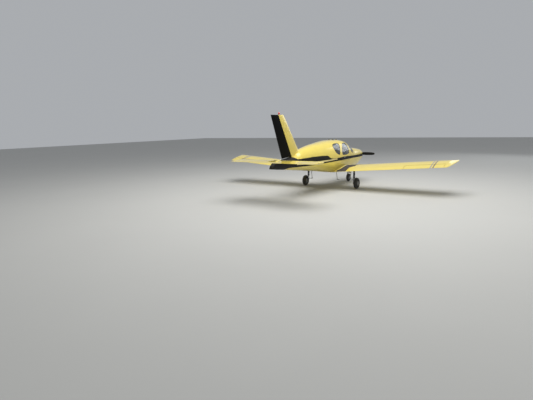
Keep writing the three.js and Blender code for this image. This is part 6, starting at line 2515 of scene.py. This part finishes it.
@dataclass
class Seats:
    """Two front seats and the rear bench: frames, shells and padded cushions."""

    across: float = 0.290

    def front(self) -> None:
        """The front seats: rails and a pan, a shell behind the back, and two cushions each."""
        x = self.across
        Pad("front_seat_cushion_left", (x, 2.747, 1.083), (0.210, 0.186, 0.032), -3.5,
            replaces=("front_seat_left",)).build("front_seat_cushion_right", ("front_seat_right",))
        Pad("front_seat_back_left", (x, 3.052, 1.392), (0.204, 0.266, 0.034), 78.5, taper=0.10,
            channels=(-0.5, -0.17, 0.17, 0.5)).build("front_seat_back_right")
        pan = joined(
            brick(at(x - 0.200, 2.600, 1.010), at(x + 0.200, 2.945, 1.046), 0.014),
            brick(at(x - 0.165, 2.640, 0.958), at(x + 0.165, 2.930, 1.012), 0.010),
            *(brick(at(x + rail - 0.014, 2.625, 0.9216), at(x + rail + 0.014, 2.948, 0.960), 0.004)
              for rail in (-0.150, 0.150)))
        shell = self.shell(x, 0.212, 0.105, (2.985, 1.060), (3.098, 1.640), 0.050)
        lever = joined(rod(at(x - 0.215, 2.70, 1.020), at(x - 0.215, 2.80, 1.030), 0.006, sides=14),
                       rod(at(x - 0.200, 2.72, 1.022), at(x - 0.2155, 2.72, 1.022), 0.006, sides=14))
        for side in Side:
            shown(f"front_seat_pan_{side.word}", joined(pan, shell).on(side), TRIM)
            shown(f"front_seat_lever_{side.word}", lever.on(side), DULL_STEEL)

    def shell(self, middle: float, half: float, taper: float, foot: tuple[float, float],
              head: tuple[float, float], back: float) -> Shape:
        """A curved sheet behind a seat back: its rings are half ovals that shrink upward.

        Args:
            middle: X of its middle.
            half: half its width.
            taper: share by which it narrows towards the top.
            foot: station and height of the padded line's foot.
            head: the same of its top.
            back: how far aft it bulges.

        Returns:
            The closed shell.
        """
        v = np.linspace(0, 1, 22)
        t = np.linspace(0, np.pi, 25)
        wide = half * (1 - taper * v) * np.sqrt(np.clip(1 - np.clip((v - 0.86) / 0.14, 0, 0.98) ** 2, 0, 1))
        station = foot[0] + (head[0] - foot[0]) * v
        height = foot[1] + (head[1] - foot[1]) * v
        rings = []
        for bulge in (back, back - 0.008):
            x = middle + wide[:, None] * np.cos(t)
            y = station[:, None] + bulge * np.sin(t) ** 0.5 + FIRST_STATION
            rings.append(np.stack([x, y, np.broadcast_to(height[:, None], x.shape)], -1))
        ring = np.concatenate([rings[0], rings[1][:, ::-1]], 1)
        return loft(ring)

    def rear(self) -> None:
        """The bench: a base, one long cushion and a wide back with a seam in its middle."""
        Pad("rear_bench_cushion", (0.0, 3.672, 1.083), (0.492, 0.190, 0.032), -3.5, replaces=("rear_seat",),
            splits=(0.0,), voxel=0.010, channels=(-0.33, 0.33)).build()
        Pad("rear_bench_back", (0.0, 3.952, 1.392), (0.478, 0.262, 0.034), 78.5, taper=0.13, splits=(0.0,),
            voxel=0.010, channels=(-0.5, -0.17, 0.17, 0.5)).build()
        base = joined(
            brick(at(-0.480, 3.530, 0.9216), at(0.480, 3.845, 1.046), 0.016),
            self.shell(0.0, 0.480, 0.13, (3.885, 1.060), (3.998, 1.640), 0.048))
        shown("rear_bench_base", base, TRIM)

    def build(self) -> None:
        """Makes the seats."""
        self.front()
        self.rear()


@dataclass
class Panel:
    """The instrument panel with its shield, dials, radios and controls, and the two yokes."""

    foot: tuple[float, float] = (1.985, 1.130)
    head: tuple[float, float] = (2.010, 1.455)
    pilot: float = 0.290
    yoke_height: float = 1.290
    yoke_station: float = 2.120

    def spot(self, across: Array, height: Array) -> Array:
        """Points of the panel's aft face."""
        (s0, z0), (s1, z1) = self.foot, self.head
        station = s0 + (np.asarray(height) - z0) / (z1 - z0) * (s1 - s0)
        return np.stack(np.broadcast_arrays(np.asarray(across, float), station + FIRST_STATION, height), -1)

    @property
    def facing(self) -> Array:
        """Unit direction out of the aft face."""
        (s0, z0), (s1, z1) = self.foot, self.head
        n = np.array([0.0, z1 - z0, s0 - s1])
        return n / np.linalg.norm(n)

    def on_face(self, shape: Shape, across: Sequence[float], height: Sequence[float]) -> Shape:
        """Copies of a small shape, drawn with its foot at the origin, set on the aft face."""
        places = self.spot(np.asarray(across, float), np.asarray(height, float))
        return scattered(shape, places, np.broadcast_to(self.facing, places.shape).copy())

    def dials(self) -> None:
        """Round instruments: bezels, faces, ticks, pointers and the smaller engine gauges."""
        big = [(self.pilot + dx, z) for z in (1.415, 1.347) for dx in (-0.084, 0.0, 0.084)]
        small = [(x, 1.418) for x in (-0.150, -0.205, -0.260, -0.315, -0.370)]
        for name, places, r in (("flight", big, 0.0300), ("engine", small, 0.0215)):
            across, height = zip(*places)
            bezel = turned_profile([(r - 0.004, -0.001), (r + 0.0022, -0.001), (r + 0.0022, 0.004), (r, 0.0060),
                                    (r - 0.003, 0.0050), (r - 0.004, 0.0020)], 36)
            face = turned_profile([(0, -0.001), (r - 0.0035, -0.001), (r - 0.0035, 0.0012), (0, 0.0012)], 36)
            tick = brick((-0.0006, -0.0024, 0.0008), (0.0006, 0.0024, 0.0016), 0.0002)
            ticks = ring_of(tick, 12, r - 0.0075, (0, 0, 0), UP)
            hand = loft(np.array([[(0.0016, -0.006, z), (0.0002, r - 0.0095, z), (-0.0002, r - 0.0095, z),
                                   (-0.0016, -0.006, z)] for z in (0.0020, 0.0026)]))
            knob = turned_profile([(0, 0.0016), (0.0030, 0.0016), (0.0030, 0.0032), (0, 0.0036)], 16)
            shown(f"{name}_bezels", self.on_face(bezel, across, height), PANEL_BLACK)
            shown(f"{name}_dial_faces", self.on_face(face, across, height), SEAL_RUBBER)
            hands = [self.on_face(joined(hand, knob).turned(UP, 40.0 + 63.0 * k), across[k:k + 1], height[k:k + 1])
                     for k in range(len(across))]
            shown(f"{name}_dial_marks", joined(self.on_face(ticks, across, height), *hands), DIAL_WHITE)

    def radios(self) -> None:
        """A stack of radios in the middle, with the switches, breakers, throttle and mixture below."""
        z = np.array([1.375, 1.325, 1.275, 1.225])
        box = brick((-0.080, -0.022, -0.001), (0.080, 0.022, 0.007), 0.002)
        window = brick((-0.045, -0.004, 0.006), (0.045, 0.013, 0.0078), 0.001)
        knob = turned_profile([(0, 0.006), (0.0085, 0.006), (0.0080, 0.016), (0.0050, 0.0165), (0.0048, 0.022),
                               (0, 0.022)], 20)
        button = brick((-0.004, -0.003, 0.006), (0.004, 0.003, 0.010), 0.001)
        knobs = joined(self.on_face(knob, np.tile([-0.064, 0.064], 4), np.repeat(z - 0.004, 2)),
                       self.on_face(button, np.tile(-0.036 + 0.018 * np.arange(5), 4), np.repeat(z - 0.014, 5)))
        shown("radio_boxes", self.on_face(box, 0 * z, z), PANEL_BLACK)
        shown("radio_windows", self.on_face(window, 0 * z, z),
              Finish("radio_display", (58, 74, 66), 0.15, mottle=0.2))
        shown("radio_knobs", knobs, SEAL_RUBBER)
        rocker = joined(brick((-0.008, -0.012, -0.001), (0.008, 0.012, 0.003), 0.002),
                        brick((-0.0055, -0.009, 0.002), (0.0055, 0.009, 0.008), 0.002).turned(LEVEL, 10))
        breaker = turned_profile([(0, -0.001), (0.0062, -0.001), (0.0062, 0.002), (0.0042, 0.0025), (0.0040, 0.007),
                                  (0, 0.007)], 16)
        row = 0.026 * np.arange(11)
        shown("switch_row", self.on_face(rocker, 0.155 + row, np.full(11, 1.170)), PALE_TRIM)
        shown("breaker_row", self.on_face(breaker, np.repeat(-0.150 - row, 2), np.tile([1.165, 1.192], 11)),
              PANEL_BLACK)
        shaft = turned_profile([(0, -0.001), (0.010, -0.001), (0.010, 0.004), (0.0042, 0.006), (0.0042, 0.040),
                                (0.0130, 0.044), (0.0150, 0.056), (0.0110, 0.066), (0, 0.068)], 24)
        red = Finish("mixture_red", (150, 24, 20), 0.4, mottle=0.15, wear=0.1)
        shown("throttle_knob", self.on_face(shaft, [0.030], [1.165]), PANEL_BLACK)
        shown("mixture_knob", self.on_face(shaft, [-0.030], [1.165]), red)

    def shield(self) -> None:
        """A padded roll along the shield's aft edge and a bright trim line under it."""
        x = np.linspace(-0.585, 0.585, 61)
        line = np.stack([x, np.full(61, 2.0 + FIRST_STATION), 1.4595 - 0.06 * x**2], 1)
        shown("panel_shield_roll", pipe(line, 0.0155, 16), TRIM)
        under = line * (0.97, 1, 1) + (0, 0.009, -0.021)
        shown("panel_trim_line", pipe(under, 0.0022, 10), BRIGHT_BOLT)

    def yokes(self) -> None:
        """Each yoke: a column, a hub and one bent tube that rises into two grips."""
        x0, y0, z0 = at(self.pilot, self.yoke_station, self.yoke_height)
        turn = np.linspace(0, np.pi / 2 - 0.11, 9)
        r = 0.030
        bend = np.stack([0.088 + r * np.sin(turn), 0 * turn, r * (1 - np.cos(turn))], 1)
        top = np.stack([np.linspace(0.1181, 0.1275, 10)[1:], np.zeros(9), np.linspace(0.0285, 0.0900, 10)[1:]], 1)
        half = np.concatenate([[(0.0, 0, 0), (0.045, 0, 0)], bend, top])
        line = np.concatenate([half[:0:-1] * (-1, 1, 1), half])
        grow = 0.0100 + 0.0028 * np.clip((line[:, 2] - 0.020) / 0.012, 0, 1)
        grip = pipe(line + (x0, y0, z0), grow, 18)
        hub = brick((x0 - 0.040, y0 - 0.014, z0 - 0.0145), (x0 + 0.040, y0 + 0.0125, z0 + 0.026), 0.009)
        badge = turned_profile([(0, 0), (0.013, 0), (0.012, 0.002), (0, 0.002)], 28, (x0, y0 + 0.0120, z0 + 0.006), AFT)
        column = rod(at(x0, 1.9972, z0), (x0, y0, z0), 0.0105, sides=26)
        cuff = turned_profile([(0.0106, 0), (0.020, 0), (0.018, 0.008), (0.0106, 0.010)], 28,
                              at(x0, 1.9985, z0), AFT)
        button = rod((x0 + 0.1245, y0 + 0.004, z0 + 0.079), (x0 + 0.1245, y0 + 0.0150, z0 + 0.079), 0.0045, sides=14)
        for side in Side:
            word = side.word
            shown(f"yoke_grip_{word}", joined(grip, hub).on(side), PANEL_BLACK,
                  [f"control_yoke_{word}"])
            shown(f"yoke_column_{word}", joined(column, badge).on(side), DULL_STEEL)
            shown(f"yoke_cuff_{word}", joined(cuff, button).on(side), SEAL_RUBBER)

    def build(self) -> None:
        """Makes everything on the panel."""
        repainted(PANEL_BLACK, "instrument_panel")
        self.shield()
        self.dials()
        self.radios()
        self.yokes()


@dataclass
class Interior:
    """The floor, the rear wall, the seats, the panel and the pedals."""

    def pedals(self) -> None:
        """Two pairs of rudder pedals ahead of the front seats, on hanging arms."""
        pedals = []
        for x in (0.205, 0.345):
            pedals.append(brick(at(x - 0.040, 1.700, 0.905), at(x + 0.040, 1.716, 0.990), 0.006).turned(
                LEVEL, -24, at(x, 1.708, 0.905)))
            pedals.append(rod(at(x, 1.690, 0.860), at(x, 1.720, 0.950), 0.009, sides=14))
        bar = rod(at(0.150, 1.688, 0.856), at(0.400, 1.688, 0.856), 0.012, sides=18)
        feet = [brick(at(x - 0.012, 1.672, 0.8312), at(x + 0.012, 1.704, 0.862), 0.003) for x in (0.165, 0.385)]
        shown("rudder_pedals", both(joined(*pedals, bar, *feet)), DULL_STEEL)

    def build(self) -> None:
        """Makes the interior."""
        repainted(CARPET, "cabin_floor")
        repainted(PALE_TRIM, "rear_bulkhead")
        Seats().build()
        Panel().build()
        self.pedals()


# ---- Small fixed pieces


@dataclass
class Step:
    """One boarding step behind the wing, drawn to port: a raked strut and a tread."""

    side: Side

    def build(self) -> None:
        """Makes the strut as an oval section carried down a line, and the ribbed tread."""
        word = self.side.word
        s = np.linspace(0, 1, 14)[:, None]
        top, foot = np.array(at(0.562, 3.591, 0.742)), np.array(at(0.562, 3.4880, 0.398))
        half_width, half_chord = 0.0075 * np.array(LEVEL), (0.0245 - 0.0045 * s) * AFT
        strut = loft(hoops(top + (foot - top) * s, 1.0, half_width, half_chord, 28))
        foot_plate = brick(at(0.5565, 3.4405, 0.3925), at(0.6595, 3.5495, 0.4015), 0.004)
        rims = [brick(at(0.5575, y - 0.003, 0.400), at(0.6585, y + 0.003, 0.4040), 0.001)
                for y in np.linspace(3.447, 3.543, 9)]
        shown(f"step_strut_{word}", joined(strut, foot_plate).on(self.side), PALE_GREY, [f"step_{word}"])
        shown(f"step_tread_{word}", joined(*rims).on(self.side), WALKWAY)
        gusset = rod(at(0.560, 3.497, 0.440), at(0.632, 3.495, 0.4005), 0.0042, sides=12)
        shown(f"step_gusset_{word}", gusset.on(self.side), PALE_GREY)


@dataclass
class Fittings:
    """The beacon, tail lamp, pitot tube and steps, and the firewall's finish."""

    beacon_station: float = 6.938
    beacon_foot: float = 2.9403
    pitot_across: float = 2.900

    def beacon(self) -> None:
        """A ribbed red dome on a metal ring, at the top of the fin."""
        a = np.linspace(0, np.pi / 2, 14)
        dome = [(0.0295 * math.cos(t) ** 0.6, 0.030 + 0.050 * math.sin(t)) for t in a[:-1]]
        foot = at(0, self.beacon_station, self.beacon_foot)
        lens = turned_profile([(0, 0.010), (0.0295, 0.010), *dome, (0, 0.080)], 40, foot)
        ring = turned_profile([(0, 0), (0.034, 0), (0.034, 0.006), (0.031, 0.009), (0.031, 0.014), (0, 0.014)], 40,
                              foot)
        shown("beacon_lens", lens, RED_LENS, ["beacon"])
        shown("beacon_base", ring, DULL_STEEL)

    def tail_lamp(self) -> None:
        """A white lamp behind the fin's foot."""
        lens = turned_profile([(0, 0), (0.0190, 0), (0.0186, 0.012), (0.0175, 0.024), (0.0140, 0.031), (0, 0.0348)],
                              32, at(0, 6.895, 1.4450))
        shown("tail_lamp_lens", lens, WHITE_LENS, ["tail_light"])

    def pitot(self) -> None:
        """The bent tube under the port wing, with a tapered, open end."""
        line, s = smoothed(np.array([at(self.pitot_across, *place) for place in (
            (2.836, 0.930), (2.830, 0.870), (2.822, 0.842), (2.800, 0.834), (2.740, 0.834), (2.640, 0.834),
            (2.600, 0.834))]), 40)
        radius = 0.0088 - 0.10 * np.maximum(s - s[-1] + 0.03, 0)
        shown("pitot_tube_probe", open_tube(line, radius, 0.0035, 3, 20), PALE_GREY, ["pitot_tube"])

    def build(self) -> None:
        """Makes all the small fixed pieces."""
        self.beacon()
        self.tail_lamp()
        self.pitot()
        for side in Side:
            Step(side).build()
        repainted(Brushed("fire_wall_steel", (156, 158, 160), 0.38, metallic=1.0, mottle=0.15, wear=0.2), "firewall")


# ---- Camera, light and floor


@dataclass
class Studio:
    """The camera at the photograph's place, a pale floor and soft light."""

    eye: Point = (-7.4096, 15.0298, 2.5962)
    yaw: float = 0.59127
    pitch: float = -0.17720
    roll: float = -0.02241
    focal_pixels: float = 415.0
    picture_width: int = 533
    sensor: float = 36.0
    floor_half: float = 60.0

    def camera(self) -> None:
        """A camera whose axes are worked out from yaw, pitch and roll: the view turns from -Y
        towards +X by the yaw and up by the pitch, and rolls about the line of sight."""
        sy, cy, sp, cp = math.sin(self.yaw), math.cos(self.yaw), math.sin(self.pitch), math.cos(self.pitch)
        ahead = np.array([sy * cp, -cy * cp, sp])
        right = np.array([-cy, -sy, 0.0])
        up = np.cross(right, ahead)
        c, s = math.cos(self.roll), math.sin(self.roll)
        axes = np.stack([c * right + s * up, c * up - s * right, -ahead], 1)
        camera = bpy.data.cameras.new("camera")
        camera.sensor_width = self.sensor
        camera.lens = self.focal_pixels / self.picture_width * self.sensor
        camera.clip_end = 400.0
        eye = linked("camera", camera)
        eye.matrix_world = Matrix.Translation(self.eye) @ Matrix(axes.tolist()).to_4x4()
        bpy.context.scene.camera = eye

    def floor(self) -> None:
        """A wide pale floor."""
        h = self.floor_half
        mesh = bpy.data.meshes.new("floor")
        mesh.from_pydata([(-h, -h, 0), (h, -h, 0), (h, h, 0), (-h, h, 0)], [], [(0, 1, 2, 3)])
        mesh.materials.append(Finish("pale_floor", (186, 186, 183), 0.85, mottle=0.02, mottle_scale=0.3).build())
        linked("floor", mesh)

    def lamp(self, name: str, place: Point, target: Point, size: float, power: float, tint: Point) -> None:
        """A square area light that faces a point.

        Args:
            name: its name.
            place: where it is.
            target: what it faces.
            size: length of its side.
            power: watts.
            tint: colour in linear light.
        """
        light = bpy.data.lights.new(name, "AREA")
        light.size, light.energy, light.color = size, power, tint
        rows = frame_of(np.asarray(place) - target)
        linked(name, light).matrix_world = Matrix.Translation(place) @ Matrix(rows.T.tolist()).to_4x4()

    def build(self) -> None:
        """Makes the camera, the floor, the lights and the sky."""
        self.camera()
        self.floor()
        self.lamp("overhead", (-2.0, 2.0, 12.0), (0.0, 0.0, 0.5), 12.0, 1950.0, (1.0, 0.985, 0.95))
        self.lamp("behind_camera", (-14.0, 14.0, 9.0), (0.0, 0.0, 1.2), 7.0, 90.0, (1.0, 1.0, 1.0))
        self.lamp("ahead", (-6.5, -20.0, 8.5), (-0.5, -1.0, 1.6), 9.0, 330.0, (0.94, 0.97, 1.0))
        world = bpy.data.worlds.new("sky")
        world.use_nodes = True
        shade = world.node_tree.nodes["Background"]
        shade.inputs["Color"].default_value = (0.80, 0.83, 0.87, 1.0)
        shade.inputs["Strength"].default_value = 0.50
        bpy.context.scene.world = world
        bpy.context.scene.view_settings.view_transform = "Standard"


def main() -> None:
    """Builds the studio and every sub-assembly."""
    Studio().build()
    Fuselage().build()
    for side in Side:
        Door(side).build()
        wing = Wing(side)
        wing.build()
        RootFairing(wing).build()
    Fin().build()
    Tailplane().build()
    Propeller().build()
    Engine().build()
    landing_gear()
    Interior().build()
    Fittings().build()


if __name__ == "__main__":
    logging.basicConfig(level=logging.INFO, format="%(name)s %(message)s")
    main()
